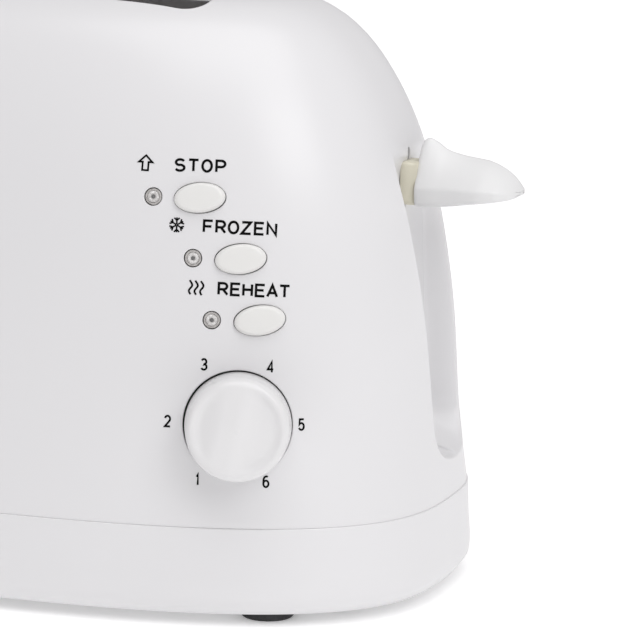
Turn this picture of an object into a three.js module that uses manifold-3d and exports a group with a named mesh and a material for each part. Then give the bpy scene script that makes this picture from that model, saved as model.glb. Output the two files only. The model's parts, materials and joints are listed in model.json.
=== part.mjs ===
// Two-slice pop-up toaster with a cool-touch plastic housing.
// Millimetres, +Z up, -Y is the control front, +X the end that carries the lever.
// The origin is on the table, under the middle of the whole object's box.
// Every dimension below is given from the middle of the housing, which stands at BODY_X.

import * as THREE from 'three';
import { mergeVertices } from 'three/addons/utils/BufferGeometryUtils.js';
import Module from 'manifold-3d';

const wasm = await Module();
wasm.setup();

// ---- Driving dimensions -------------------------------------------------------------------

const BODY_X = -8.8;           // the lever sticks out one way, so the housing sits off the origin
const GAP = 0.3;               // running gap between neighbouring pieces
const PI = Math.PI;

// Housing: superellipse sections that draw in towards a crowned top.
const SEAM_Z = 29;             // joint between the base and the shell
const KNEE_Z = 157;            // the walls turn over into the crown here
const TOP_Z = 176;
const HALF_LENGTH = 136.3;     // at the seam
const HALF_DEPTH = 74;
const SECTION_POWER = 2.87;
const DEPTH_SHARE = 0.75;      // the front draws in less than the ends
const INSET_SPAN = 150;
const WALL = 2.5;
const SECTION_POINTS = 44;
const CROWN_LENGTH = 78.8;     // half sizes of the flat middle of the crown
const CROWN_DEPTH = 31.3;
const CROWN_RUN_X = 72.9;      // heights of the ellipses that shape the crown
const CROWN_RUN_Y = 80;

// Base.
const BASE_BOTTOM = 3;
const BASE_FLOOR = 2.5;
const BASE_WALL = 3.2;
const BASE_FLARE = 1.5;        // the skirt stands this far outside the seam
const FOOT_RADIUS = 8;
const FOOT_X = 96;
const FOOT_Y = 48;
const SCREW_X = 114;
const SCREW_Y = 34;
const SCREW_RADIUS = 1.5;
const SCREW_HEAD = 3.2;
const BOSS_BOTTOM = 9.3;       // bosses stand down from the shell to the screws
const BOSS_LENGTH = 50;
const BOSS_RADIUS = 4.2;

// Bread slots and the heated chamber.
const SLOT_X0 = -74;
const SLOT_X1 = 66;
const SLOT_Y = 19.5;
const SLOT_HALF_WIDTH = 13;
const SLOT_CORNER = 6;
const CHASSIS_X0 = -82;
const CHASSIS_X1 = 74;
const CHASSIS_HALF_DEPTH = 42;
const CHASSIS_BOTTOM = 16;
const CHASSIS_TOP = 158.7;
const SHEET = 1;
const SLOT_PLATE_HALF = SLOT_Y + SLOT_HALF_WIDTH + 3;
const MICA_LOW = 34;
const MICA_HIGH = 142;
const OUTER_MICA_Y = 37.5;
const GUARD_Y_INNER = 5;
const GUARD_Y_OUTER = 34;
const GUARD_WIRE = 0.8;

// Lever recess in the +X end.
const FLOOR_X = 119.8;         // flat floor of the recess
const RECESS_TOP_Z = 140;
const RECESS_WIDE_Z = 122;
const RECESS_WIDE = 18;
const CHANNEL_Z = 54;
const CHANNEL_HALF = 10.5;
const RECESS_END_Z = 38;
const SCOOP_RADIUS = 14;
const LEVER_SLOT_HALF = 1;
const LEVER_SLOT_Z0 = 50;
const LEVER_SLOT_Z1 = 133;

// Carriage.
const TRAVEL = 66;
const ARM_Z0 = 118;
const ARM_Z1 = 126;
const ARM_HALF = 0.6;          // half the thickness of the carriage's arm
const ROD_X = 95;
const ROD_RADIUS = 3;
const RACK_Z = 108;
const RACK_DEPTH = 5;          // the comb's spine stands this far below its bars
const CARRIAGE_X = 84;         // inner face of the carriage's plate
const SPRING_Y = 15;
const SPRING_Z = 126.4;
const SPRING_LENGTH = 20;
const SPRING_RADIUS = 3;
const SPRING_TURNS = 8;
const BRACKET_TOP_Z = 147;
const BRACKET_BOTTOM_Z = 34.4;

// Holding magnet under the carriage, and the keeper plate that it catches.
const MAGNET_X0 = 88;
const MAGNET_X1 = 102;
const MAGNET_Y0 = -22;
const MAGNET_Y1 = -12;
const MAGNET_Z0 = 36.3;
const MAGNET_Z1 = 48;
const MAGNET_LEG = 3;

// Control panel: places on the front wall, given by X and height.
const BUTTONS = { stop: [77.1, 122.4], frozen: [89.4, 105.6], reheat: [95.4, 88.4] };
const LEDS = { stop: [64.0, 122.3], frozen: [76.4, 105.5], reheat: [82.5, 88.2] };
const BUTTON_HALF_WIDTH = 7.3;
const BUTTON_HALF_HEIGHT = 4.25;
const BUTTON_TURN = { stop: 4.7, frozen: 5.3, reheat: 7.4 };   // degrees, outer end up
const BUTTON_PROUD = 2;
const LED_RADIUS = 2.5;
const DIAL_X = 90.8;
const DIAL_Z = 58.55;
const DIAL_AZIMUTH = 19;       // degrees from -Y towards +X
const DIAL_TILT = 5;           // degrees up
const DIAL_HOLE = 15.85;
const DIAL_RADIUS = 15.3;
const DIAL_PROUD = 14.5;
const BOARD_BACK = 15;         // the control board stands this far behind the front surface

// ---- Solids -------------------------------------------------------------------------------

function solidFrom(geometry) {
  geometry.deleteAttribute('normal');
  geometry.deleteAttribute('uv');
  const merged = mergeVertices(geometry, 1e-4);
  const mesh = new wasm.Mesh({
    numProp: 3,
    vertProperties: new Float32Array(merged.attributes.position.array),
    triVerts: new Uint32Array(merged.index.array),
  });
  return new wasm.Manifold(mesh);
}

function geometryFrom(solid) {
  const mesh = solid.getMesh();
  const geometry = new THREE.BufferGeometry();
  const count = mesh.vertProperties.length / mesh.numProp;
  const positions = new Float32Array(count * 3);
  for (let i = 0; i < count; i += 1) {
    for (let k = 0; k < 3; k += 1) {
      positions[i * 3 + k] = mesh.vertProperties[i * mesh.numProp + k];
    }
  }
  geometry.setAttribute('position', new THREE.BufferAttribute(positions, 3));
  geometry.setIndex(new THREE.BufferAttribute(new Uint32Array(mesh.triVerts), 1));
  return geometry;
}

function box(x0, x1, y0, y1, z0, z1) {
  const geometry = new THREE.BoxGeometry(x1 - x0, y1 - y0, z1 - z0);
  geometry.translate((x0 + x1) / 2, (y0 + y1) / 2, (z0 + z1) / 2);
  return solidFrom(geometry);
}

// A solid through a list of rings with the same number of points, closed by a fan at each end.
function loft(rings) {
  const size = rings[0].length;
  const positions = [];
  const index = [];
  for (const ring of rings) {
    for (const point of ring) positions.push(...point);
  }
  for (let r = 0; r + 1 < rings.length; r += 1) {
    for (let i = 0; i < size; i += 1) {
      const j = (i + 1) % size;
      const a = r * size + i;
      const b = r * size + j;
      index.push(a, b, b + size, a, b + size, a + size);
    }
  }
  const cap = (start, flip) => {
    const centre = [0, 0, 0];
    for (let i = 0; i < size; i += 1) {
      for (let k = 0; k < 3; k += 1) centre[k] += positions[(start + i) * 3 + k] / size;
    }
    const middle = positions.length / 3;
    positions.push(...centre);
    for (let i = 0; i < size; i += 1) {
      const j = (i + 1) % size;
      if (flip) index.push(middle, start + j, start + i);
      else index.push(middle, start + i, start + j);
    }
  };
  cap(0, true);
  cap((rings.length - 1) * size, false);
  let volume = 0;
  for (let t = 0; t < index.length; t += 3) {
    const [a, b, c] = [0, 1, 2].map((k) => new THREE.Vector3().fromArray(positions, index[t + k] * 3));
    volume += a.dot(b.cross(c));
  }
  if (volume < 0) index.reverse();
  const geometry = new THREE.BufferGeometry();
  geometry.setAttribute('position', new THREE.Float32BufferAttribute(positions, 3));
  geometry.setIndex(index);
  return solidFrom(geometry);
}

// A frame whose Z runs along a direction, with X level and Y as near upright as it can be.
function frameAt(origin, direction) {
  const z = direction.clone().normalize();
  const x = new THREE.Vector3(0, 0, 1).cross(z);
  if (x.lengthSq() < 1e-6) x.set(1, 0, 0);
  x.normalize();
  const y = z.clone().cross(x);
  return new THREE.Matrix4().makeBasis(x, y, z).setPosition(origin);
}

// A straight prism of an outline, from one height to another along the frame's Z.
function prism(shape, from, to, frame, segments = 6) {
  const geometry = new THREE.ExtrudeGeometry(shape, {
    depth: to - from, bevelEnabled: false, curveSegments: segments,
  });
  geometry.translate(0, 0, from);
  geometry.applyMatrix4(frame);
  return solidFrom(geometry);
}

// A body turned about the frame's Z from [radius, height] points that start and end on the axis.
function turned(profile, sides, frame) {
  const points = profile.map(([radius, height]) => new THREE.Vector2(radius, height));
  const geometry = new THREE.LatheGeometry(points, sides);
  geometry.rotateX(PI / 2);
  geometry.applyMatrix4(frame);
  const solid = solidFrom(geometry);
  if (solid.volume() > 0) return solid;
  geometry.setIndex(Array.from(geometry.index.array).reverse());
  return solidFrom(geometry);
}

function cylinder(origin, direction, length, radius, sides = 20) {
  const profile = [[0, 0], [radius, 0], [radius, length], [0, length]];
  return turned(profile, sides, frameAt(origin, direction));
}

function ellipse(halfWidth, halfHeight) {
  const shape = new THREE.Shape();
  shape.absellipse(0, 0, halfWidth, halfHeight, 0, 2 * PI, false, 0);
  return shape;
}

function roundedRectangle(x0, x1, y0, y1, radius) {
  const shape = new THREE.Shape();
  shape.moveTo(x0 + radius, y0);
  shape.lineTo(x1 - radius, y0);
  shape.absarc(x1 - radius, y0 + radius, radius, -PI / 2, 0, false);
  shape.lineTo(x1, y1 - radius);
  shape.absarc(x1 - radius, y1 - radius, radius, 0, PI / 2, false);
  shape.lineTo(x0 + radius, y1);
  shape.absarc(x0 + radius, y1 - radius, radius, PI / 2, PI, false);
  shape.lineTo(x0, y0 + radius);
  shape.absarc(x0 + radius, y0 + radius, radius, PI, 1.5 * PI, false);
  return shape;
}

const UP = new THREE.Matrix4();
const Z_AXIS = new THREE.Vector3(0, 0, 1);

function at(x, y, z) {
  return new THREE.Vector3(x, y, z);
}

// ---- Housing surface ----------------------------------------------------------------------

// How far the end walls have drawn in at a height below the knee.
function inset(z) {
  const k = Math.max((z - SEAM_Z) / INSET_SPAN, 0);
  return 22.84 * k - 21.66 * k ** 2 + 43.08 * k ** 4 + 3 * k ** 8;
}

// One quarter of an ellipse from the knee to the crown's flat middle.
function crown(z, kneeSize, flatSize, run) {
  const start = 1 - (TOP_Z - KNEE_Z) / run;
  const reach = (kneeSize - flatSize) / Math.sqrt(1 - start ** 2);
  const height = 1 - (TOP_Z - z) / run;
  return flatSize + reach * Math.sqrt(Math.max(1 - height ** 2, 0));
}

function halfSizes(z) {
  if (z <= KNEE_Z) return [HALF_LENGTH - inset(z), HALF_DEPTH - DEPTH_SHARE * inset(z)];
  const [kneeLength, kneeDepth] = halfSizes(KNEE_Z);
  return [
    crown(z, kneeLength, CROWN_LENGTH, CROWN_RUN_X),
    crown(z, kneeDepth, CROWN_DEPTH, CROWN_RUN_Y),
  ];
}

function section(a, b, z, count = SECTION_POINTS) {
  const ring = [];
  for (let i = 0; i < count; i += 1) {
    const t = (i / count) * 2 * PI;
    const c = Math.cos(t);
    const s = Math.sin(t);
    ring.push([
      a * Math.sign(c) * Math.abs(c) ** (2 / SECTION_POWER),
      b * Math.sign(s) * Math.abs(s) ** (2 / SECTION_POWER),
      z,
    ]);
  }
  return ring;
}

// The front wall's point at an X and height.
function frontPoint(x, z) {
  const [a, b] = halfSizes(z);
  return at(x, -b * (1 - (x / a) ** SECTION_POWER) ** (1 / SECTION_POWER), z);
}

// The front wall's outward direction there.
function frontNormal(x, z) {
  const step = 0.5;
  const alongX = frontPoint(x + step, z).sub(frontPoint(x - step, z));
  const alongZ = frontPoint(x, z + step).sub(frontPoint(x, z - step));
  return alongX.cross(alongZ).normalize();
}

// Heights of the shell's sections, close together where the wall turns.
const SHELL_LEVELS = [SEAM_Z, 66, 100, 125, 142, KNEE_Z, 164, 170, 174, TOP_Z];

function shellOutside() {
  return loft(SHELL_LEVELS.map((z) => section(...halfSizes(z), z)));
}

// The inside follows the outside at the wall's thickness, measured square to the surface.
function shellInside() {
  const rings = SHELL_LEVELS.map((z) => {
    const [a, b] = halfSizes(z);
    const step = 0.5;
    const lower = halfSizes(Math.max(z - step, SEAM_Z));
    const slope = z >= TOP_Z ? 50 : (lower[0] - a) / step;
    const lean = Math.atan(slope);
    const across = WALL * Math.cos(lean);
    return section(a - across, b - across, z - WALL * Math.sin(lean));
  });
  rings[0] = section(HALF_LENGTH - WALL, HALF_DEPTH - WALL, SEAM_Z - 1);
  return loft(rings);
}

// ---- Lever recess -------------------------------------------------------------------------

function recessHalf(z) {
  if (z >= CHANNEL_Z) {
    const rise = Math.min((z - CHANNEL_Z) / (RECESS_WIDE_Z - CHANNEL_Z), 1);
    return CHANNEL_HALF + (RECESS_WIDE - CHANNEL_HALF) * rise;
  }
  const drop = (CHANNEL_Z - z) / (CHANNEL_Z - RECESS_END_Z);
  return CHANNEL_HALF * Math.sqrt(Math.max(1 - drop ** 2, 0.02));
}

function recessFloor(z) {
  const drop = Math.min(Math.max(RECESS_END_Z + SCOOP_RADIUS - z, 0), SCOOP_RADIUS);
  return FLOOR_X + SCOOP_RADIUS - Math.sqrt(SCOOP_RADIUS ** 2 - drop ** 2);
}

// The space of the recess, or with a growth the plastic that lines it.
function recessSpace(growth) {
  const levels = [RECESS_END_Z, 38.6, 40, 42.5, 46, 50, CHANNEL_Z, RECESS_WIDE_Z, RECESS_TOP_Z];
  const rings = levels.map((z, i) => {
    const mouth = recessHalf(z) + growth;
    const floor = recessFloor(z) - growth;
    const corner = Math.min(3, mouth * 0.4);
    const draft = Math.min(1.6, mouth * 0.2);
    const far = HALF_LENGTH + 20;
    const lift = i === 0 ? -growth : 0;
    return [
      [far, -mouth, z + lift],
      [floor + corner, draft - mouth, z + lift],
      [floor, draft + corner - mouth, z + lift],
      [floor, mouth - draft - corner, z + lift],
      [floor + corner, mouth - draft, z + lift],
      [far, mouth, z + lift],
    ];
  });
  return loft(rings);
}

// ---- Outer shell --------------------------------------------------------------------------

function controlHoles() {
  const cutters = [];
  const outline = ellipse(BUTTON_HALF_WIDTH + GAP, BUTTON_HALF_HEIGHT + GAP);
  for (const name of Object.keys(BUTTONS)) cutters.push(prism(outline, -8, 8, buttonFrame(name)));
  for (const [x, z] of Object.values(LEDS)) {
    const start = frontPoint(x, z).addScaledVector(frontNormal(x, z), -8);
    cutters.push(cylinder(start, frontNormal(x, z), 16, LED_RADIUS + 0.2, 16));
  }
  const start = frontPoint(DIAL_X, DIAL_Z).addScaledVector(dialDirection(), -12);
  cutters.push(cylinder(start, dialDirection(), 30, DIAL_HOLE, 40));
  return cutters;
}

// Screw bosses that stand down from the shell's end walls into the base.
function shellBosses() {
  let bosses = null;
  for (const sx of [-1, 1]) {
    for (const sy of [-1, 1]) {
      const y = sy * SCREW_Y;
      const post = cylinder(at(sx * SCREW_X, y, BOSS_BOTTOM), Z_AXIS, BOSS_LENGTH, BOSS_RADIUS, 16);
      const ends = [sx * SCREW_X, sx * (HALF_LENGTH + 2)];
      const rib = box(Math.min(...ends), Math.max(...ends), y - 1, y + 1, SEAM_Z + 6, 58);
      const boss = post.add(rib);
      bosses = bosses ? bosses.add(boss) : boss;
    }
  }
  return bosses;
}

function screwHoles(radius, from, to) {
  const holes = [];
  for (const sx of [-1, 1]) {
    for (const sy of [-1, 1]) {
      holes.push(cylinder(at(sx * SCREW_X, sy * SCREW_Y, from), Z_AXIS, to - from, radius, 16));
    }
  }
  return holes;
}

function slotCutter(sign, from, to) {
  const y = sign * SLOT_Y;
  const outline = roundedRectangle(SLOT_X0, SLOT_X1, y - SLOT_HALF_WIDTH, y + SLOT_HALF_WIDTH, SLOT_CORNER);
  return prism(outline, from, to, UP, 3);
}

function outerShell() {
  const outside = shellOutside();
  const below = box(-200, 200, -100, 100, 0, SEAM_Z);
  const lining = recessSpace(WALL).intersect(outside);
  let shell = outside.subtract(shellInside()).add(lining).subtract(recessSpace(0));
  const bosses = shellBosses();
  shell = shell.add(bosses.intersect(outside.add(below)));
  for (const sign of [-1, 1]) shell = shell.subtract(slotCutter(sign, 150, 190));
  for (const cutter of controlHoles()) shell = shell.subtract(cutter);
  for (const hole of screwHoles(SCREW_RADIUS + GAP, 0, 32)) shell = shell.subtract(hole);
  const leverSlot = box(
    FLOOR_X - 12, FLOOR_X + 6, -LEVER_SLOT_HALF, LEVER_SLOT_HALF, LEVER_SLOT_Z0, LEVER_SLOT_Z1,
  );
  return shell.subtract(leverSlot);
}

// ---- Base ---------------------------------------------------------------------------------

function baseSection(grow, z) {
  return section(HALF_LENGTH + grow, HALF_DEPTH + grow, z);
}

const SKIRT_PROFILE = [[-1, BASE_BOTTOM], [0.6, 5.4], [BASE_FLARE, 9.5], [0.6, 27], [0.2, SEAM_Z - GAP]];

function skirtOutside() {
  return loft(SKIRT_PROFILE.map(([grow, z]) => baseSection(grow, z)));
}

function skirtInside() {
  return loft([baseSection(-BASE_WALL - 1, BASE_BOTTOM + BASE_FLOOR), baseSection(-BASE_WALL, 12),
    baseSection(-BASE_WALL, SEAM_Z + 4)]);
}

// The opening in the back of the skirt that the crumb tray slides through.
const TRAY_X0 = -79.5;
const TRAY_X1 = 71.5;
const TRAY_FRONT_Y = -52;
const TRAY_HEIGHT = 6.5;
const TRAY_LIP = 0.7;          // its front stands this much above the pan
const TRAY_BOTTOM = BASE_BOTTOM + BASE_FLOOR + GAP;
const GLAND_X = 58;
const GLAND_Z = 19.2;
const GLAND_END_Y = 79;        // as far back as the dial stands forward
const GLAND_BORE = 3.6;
const GLAND_HOLE = 5.2;

function base() {
  const tongueOutside = loft([baseSection(-WALL - GAP, 25), baseSection(-WALL - GAP - 0.5, SEAM_Z + 4)]);
  const tongueInside = loft([baseSection(-WALL - GAP - 1.8, 24), baseSection(-WALL - GAP - 1.8, SEAM_Z + 5)]);
  let tub = skirtOutside().subtract(skirtInside()).add(tongueOutside.subtract(tongueInside));
  // Rails beside the tray carry the chassis ends.
  for (const [x0, x1] of [[CHASSIS_X0 - 4, TRAY_X0 - GAP], [TRAY_X1 + GAP, CHASSIS_X1 + 5]]) {
    tub = tub.add(box(x0, x1, -50, 50, BASE_BOTTOM + 1, CHASSIS_BOTTOM - GAP));
  }
  for (const pad of screwHoles(6, BASE_BOTTOM + 0.5, 9)) tub = tub.add(pad);
  for (const hole of screwHoles(SCREW_HEAD + 0.4, 0, 6)) tub = tub.subtract(hole);
  for (const hole of screwHoles(SCREW_RADIUS + GAP, 0, 20)) tub = tub.subtract(hole);
  const trayTop = TRAY_BOTTOM + TRAY_HEIGHT + TRAY_LIP + GAP;
  tub = tub.subtract(box(TRAY_X0 - GAP, TRAY_X1 + GAP, 45, 100, TRAY_BOTTOM - GAP, trayTop));
  tub = tub.subtract(cylinder(at(GLAND_X, 60, GLAND_Z), at(0, 1, 0), 30, GLAND_HOLE, 20));
  // Air slots under the lever mechanism and the far end.
  for (const side of [-1, 1]) {
    for (let i = -2; i <= 2; i += 1) {
      const x = side > 0 ? 100 : -104;
      tub = tub.subtract(box(x - 9, x + 9, i * 9 - 1.5, i * 9 + 1.5, 0, BASE_BOTTOM + BASE_FLOOR + 1));
    }
  }
  return tub;
}

function crumbTray() {
  const pan = box(TRAY_X0, TRAY_X1, TRAY_FRONT_Y, 66, TRAY_BOTTOM, TRAY_BOTTOM + TRAY_HEIGHT);
  const hollow = box(TRAY_X0 + 1, TRAY_X1 - 1, TRAY_FRONT_Y + 1, 62, TRAY_BOTTOM + 1, TRAY_BOTTOM + 20);
  const front = skirtOutside()
    .subtract(skirtInside())
    .intersect(box(TRAY_X0, TRAY_X1, 50, 100, TRAY_BOTTOM, TRAY_BOTTOM + TRAY_HEIGHT + TRAY_LIP));
  const grip = box(-26, 18, 70, 77, TRAY_BOTTOM + 1, TRAY_BOTTOM + 2.6);
  const footprint = skirtOutside().intersect(pan);
  return footprint.subtract(hollow).add(front).add(grip);
}

function foot(x, y) {
  const profile = [[0, 0], [FOOT_RADIUS - 0.8, 0], [FOOT_RADIUS, 0.8], [FOOT_RADIUS, BASE_BOTTOM - GAP],
    [0, BASE_BOTTOM - GAP]];
  return turned(profile, 20, frameAt(at(x, y, 0), Z_AXIS));
}

function caseScrew(x, y) {
  const profile = [[0, 3.4], [SCREW_HEAD, 3.4], [SCREW_HEAD, 5.7], [SCREW_RADIUS, 5.7],
    [SCREW_RADIUS, 26], [0, 28]];
  const screw = turned(profile, 12, frameAt(at(x, y, 0), Z_AXIS));
  const cross = box(x - 2, x + 2, y - 0.5, y + 0.5, 3, 4.6).add(box(x - 0.5, x + 0.5, y - 2, y + 2, 3, 4.6));
  return screw.subtract(cross);
}

// Grommet that the mains lead passes through: two flanges either side of the skirt.
function cordGland() {
  const profile = [[GLAND_BORE, 62.6], [5.6, 62.6], [5.6, 65.2], [4.9, 65.2], [4.9, 74.3], [6, 74.3], [6, 76],
    [5.2, GLAND_END_Y], [GLAND_BORE, GLAND_END_Y], [GLAND_BORE, 62.6]];
  return turned(profile, 20, frameAt(at(GLAND_X, 0, GLAND_Z), at(0, 1, 0)));
}

// ---- Lever and carriage -------------------------------------------------------------------

// Stations along the handle: X, half width, underside, side edge and crown heights.
const HANDLE = [
  [120.7, 6.3, 116.6, 121.0, 129.2],
  [124.8, 6.5, 116.4, 121.4, 129.6],
  [125.2, 7.4, 116.4, 121.6, 134.2],
  [127.5, 8.3, 116.4, 121.8, 136.2],
  [130.0, 8.5, 116.5, 122.0, 135.2],
  [132.8, 8.6, 116.8, 122.2, 133.1],
  [136.5, 9.8, 117.3, 122.3, 132.0],
  [140.5, 11.8, 118.0, 122.4, 131.3],
  [145.5, 12.4, 119.0, 122.5, 130.6],
  [149.5, 11.6, 119.9, 122.6, 129.1],
  [152.6, 9.6, 120.6, 122.5, 127.0],
  [154.6, 6.6, 121.1, 122.4, 124.6],
  [155.4, 3.0, 121.6, 122.3, 123.0],
];

function leverKnob() {
  const rings = HANDLE.map(([x, half, under, edge, top]) => {
    const ring = [[x, -half * 0.8, under], [x, -half, under + (edge - under) * 0.35], [x, -half, edge]];
    const steps = 8;
    for (let i = 1; i < steps; i += 1) {
      const t = (i / steps) * PI;
      const rise = Math.sin(t) ** 0.9;
      ring.push([x, -half * Math.cos(t) * 0.97, edge + (top - edge) * rise]);
    }
    ring.push([x, half, edge], [x, half, under + (edge - under) * 0.35], [x, half * 0.8, under]);
    return ring;
  });
  const pocket = box(115, 131, -ARM_HALF - GAP, ARM_HALF + GAP, ARM_Z0 - GAP, ARM_Z1 + GAP);
  return loft(rings).subtract(pocket);
}

function carriage() {
  const plate = box(CARRIAGE_X, CARRIAGE_X + 1.2, -25, 25, RACK_Z - RACK_DEPTH, ARM_Z1 + 2);
  const arm = box(CARRIAGE_X, 130, -ARM_HALF, ARM_HALF, ARM_Z0, ARM_Z1);
  const bush = cylinder(at(ROD_X, 0, RACK_Z - 2), Z_AXIS, 22, 6, 20);
  const tabX = CARRIAGE_X + 0.5;
  const springTab = box(tabX, ROD_X + 4, 2, SPRING_Y + 3.5, SPRING_Z - 2.4, SPRING_Z - 1);
  const keeperTab = box(tabX, ROD_X + 9, -24, -5, ARM_Z0 - 1.4, ARM_Z0);
  const rodHole = cylinder(at(ROD_X, 0, 90), Z_AXIS, 60, ROD_RADIUS + GAP, 20);
  return plate.add(arm).add(bush).add(springTab).add(keeperTab).subtract(rodHole);
}

// Comb that lifts a slice: a spine on edge with cross bars, and a tail at each end.
function breadRack(sign) {
  const y = sign * SLOT_Y;
  let rack = box(CHASSIS_X0 - 4, CARRIAGE_X - GAP, y - 0.8, y + 0.8, RACK_Z - RACK_DEPTH, RACK_Z + 0.5);
  const bars = 9;
  for (let i = 0; i < bars; i += 1) {
    const x = SLOT_X0 + 6 + (i / (bars - 1)) * (SLOT_X1 - SLOT_X0 - 12);
    rack = rack.add(box(x - 1, x + 1, y - 9, y + 9, RACK_Z, RACK_Z + 1.2));
  }
  return rack;
}

function guideRod() {
  return cylinder(at(ROD_X, 0, 33), Z_AXIS, 118, ROD_RADIUS, 16);
}

// Angle bracket: a level plate round the rod and a tab, from tabZ0 to tabZ1, against the chassis.
function rodBracket(z, y0, y1, tabZ0, tabZ1) {
  const thick = 1.5;
  const x0 = CHASSIS_X1 + SHEET + GAP;
  const plate = box(x0, ROD_X + 8, y0, y1, z, z + thick);
  const tab = box(x0, x0 + thick, y0, y1, tabZ0, tabZ1);
  const hole = cylinder(at(ROD_X, 0, z - 5), Z_AXIS, 20, ROD_RADIUS + GAP, 16);
  return plate.add(tab).subtract(hole);
}

class Helix extends THREE.Curve {
  constructor(centre, radius, height, turns) {
    super();
    Object.assign(this, { centre, radius, height, turns });
  }

  getPoint(t) {
    const angle = t * this.turns * 2 * PI;
    return this.centre.clone().add(
      at(this.radius * Math.cos(angle), this.radius * Math.sin(angle), this.height * t),
    );
  }
}

function liftSpring() {
  const path = new Helix(at(ROD_X, SPRING_Y, SPRING_Z), SPRING_RADIUS, SPRING_LENGTH, SPRING_TURNS);
  const wire = ellipse(0.5, 0.5);
  const geometry = new THREE.ExtrudeGeometry(wire, {
    steps: SPRING_TURNS * 8, extrudePath: path, bevelEnabled: false, curveSegments: 3,
  });
  return solidFrom(geometry);
}

function magnetCore() {
  const bar = (x0, x1, z1) => box(x0, x1, MAGNET_Y0, MAGNET_Y1, MAGNET_Z0, z1);
  const near = bar(MAGNET_X0, MAGNET_X0 + MAGNET_LEG, MAGNET_Z1);
  const far = bar(MAGNET_X1 - MAGNET_LEG, MAGNET_X1, MAGNET_Z1);
  return near.add(far).add(bar(MAGNET_X0, MAGNET_X1, MAGNET_Z0 + 2.7));
}

function magnetCoil() {
  const leg = [MAGNET_X0, MAGNET_X0 + MAGNET_LEG, MAGNET_Y0, MAGNET_Y1];
  const around = (grow, z0, z1) => box(leg[0] - grow, leg[1] + grow, leg[2] - grow, leg[3] + grow, z0, z1);
  return around(2.4, MAGNET_Z0 + 2.7 + GAP, MAGNET_Z1 - 1.5).subtract(around(GAP, 30, 60));
}

// Steel plate under the carriage that the magnet holds at the bottom of the lever's travel.
function keeperPlate() {
  const bottom = MAGNET_Z1 + TRAVEL + GAP;
  return box(MAGNET_X0, MAGNET_X1, MAGNET_Y0, MAGNET_Y1, bottom, bottom + 1.9);
}

// ---- Chassis and heaters ------------------------------------------------------------------

// End plate in the YZ plane, with a slot for the tail of each bread rack.
function chassisEnd(x) {
  const half = CHASSIS_HALF_DEPTH;
  const neck = SLOT_PLATE_HALF;
  const shape = new THREE.Shape();
  shape.moveTo(-half, CHASSIS_BOTTOM);
  shape.lineTo(half, CHASSIS_BOTTOM);
  shape.lineTo(half, 144);
  shape.lineTo(neck, 150);
  shape.lineTo(neck, CHASSIS_TOP);
  shape.lineTo(-neck, CHASSIS_TOP);
  shape.lineTo(-neck, 150);
  shape.lineTo(-half, 144);
  const upright = new THREE.Matrix4().makeBasis(at(0, 1, 0), at(0, 0, 1), at(1, 0, 0)).setPosition(x, 0, 0);
  let plate = prism(shape, 0, SHEET, upright);
  for (const sign of [-1, 1]) {
    const y = sign * SLOT_Y;
    const low = RACK_Z - RACK_DEPTH - TRAVEL - 2;
    plate = plate.subtract(box(x - 5, x + 5, y - 1.8, y + 1.8, low, RACK_Z + 3));
  }
  return plate;
}

function slotPlate() {
  const half = SLOT_PLATE_HALF;
  const bottom = CHASSIS_TOP + GAP;
  let plate = box(CHASSIS_X0 - 1, CHASSIS_X1 + SHEET + 1, -half, half, bottom, bottom + 1.2);
  for (const sign of [-1, 1]) plate = plate.subtract(slotCutter(sign, 150, 190));
  return plate;
}

const LINER_X0 = CHASSIS_X0 + SHEET + GAP;
const LINER_X1 = CHASSIS_X1 - GAP;

function reflector(sign) {
  const y = sign * (CHASSIS_HALF_DEPTH - 1);
  return box(LINER_X0, LINER_X1, y - 0.4, y + 0.4, CHASSIS_BOTTOM + 2, 143);
}

function micaSheet(y) {
  return box(LINER_X0, LINER_X1, y - 0.5, y + 0.5, MICA_LOW, MICA_HIGH);
}

// Resistance ribbon that runs to and fro along one face of a mica sheet.
function heaterRibbon(y, side) {
  const runs = 9;
  const width = 1.6;
  const low = MICA_LOW + 10;
  const pitch = 10.5;
  const x0 = LINER_X0 + 8;
  const x1 = LINER_X1 - 8;
  const near = y + side * (0.5 + GAP);
  const far = near + side * 0.5;
  const [y0, y1] = [Math.min(near, far), Math.max(near, far)];
  let ribbon = null;
  for (let i = 0; i < runs; i += 1) {
    const z = low + i * pitch;
    const run = box(x0, x1, y0, y1, z, z + width);
    ribbon = ribbon ? ribbon.add(run) : run;
    if (i + 1 < runs) {
      const x = i % 2 === 0 ? x1 - width : x0;
      ribbon = ribbon.add(box(x, x + width, y0, y1, z, z + pitch + width));
    }
  }
  return ribbon;
}

// Wire guard that keeps bread off the heaters.
function breadGuard(y) {
  const wires = 6;
  const low = 32;
  const high = 156;
  const rail = (z) => cylinder(at(SLOT_X0 - 5, y, z), at(1, 0, 0), SLOT_X1 - SLOT_X0 + 10, GUARD_WIRE, 6);
  let guard = rail(low).add(rail(high));
  for (let i = 0; i < wires; i += 1) {
    const x = SLOT_X0 + 4 + (i / (wires - 1)) * (SLOT_X1 - SLOT_X0 - 8);
    guard = guard.add(cylinder(at(x, y, low - 0.2), Z_AXIS, high - low + 0.4, GUARD_WIRE * 0.9, 6));
  }
  return guard;
}

// ---- Controls -----------------------------------------------------------------------------

function dialDirection() {
  const azimuth = THREE.MathUtils.degToRad(DIAL_AZIMUTH);
  const tilt = THREE.MathUtils.degToRad(DIAL_TILT);
  return at(Math.sin(azimuth) * Math.cos(tilt), -Math.cos(azimuth) * Math.cos(tilt), Math.sin(tilt));
}

function dialFrame() {
  return frameAt(frontPoint(DIAL_X, DIAL_Z), dialDirection());
}

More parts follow.
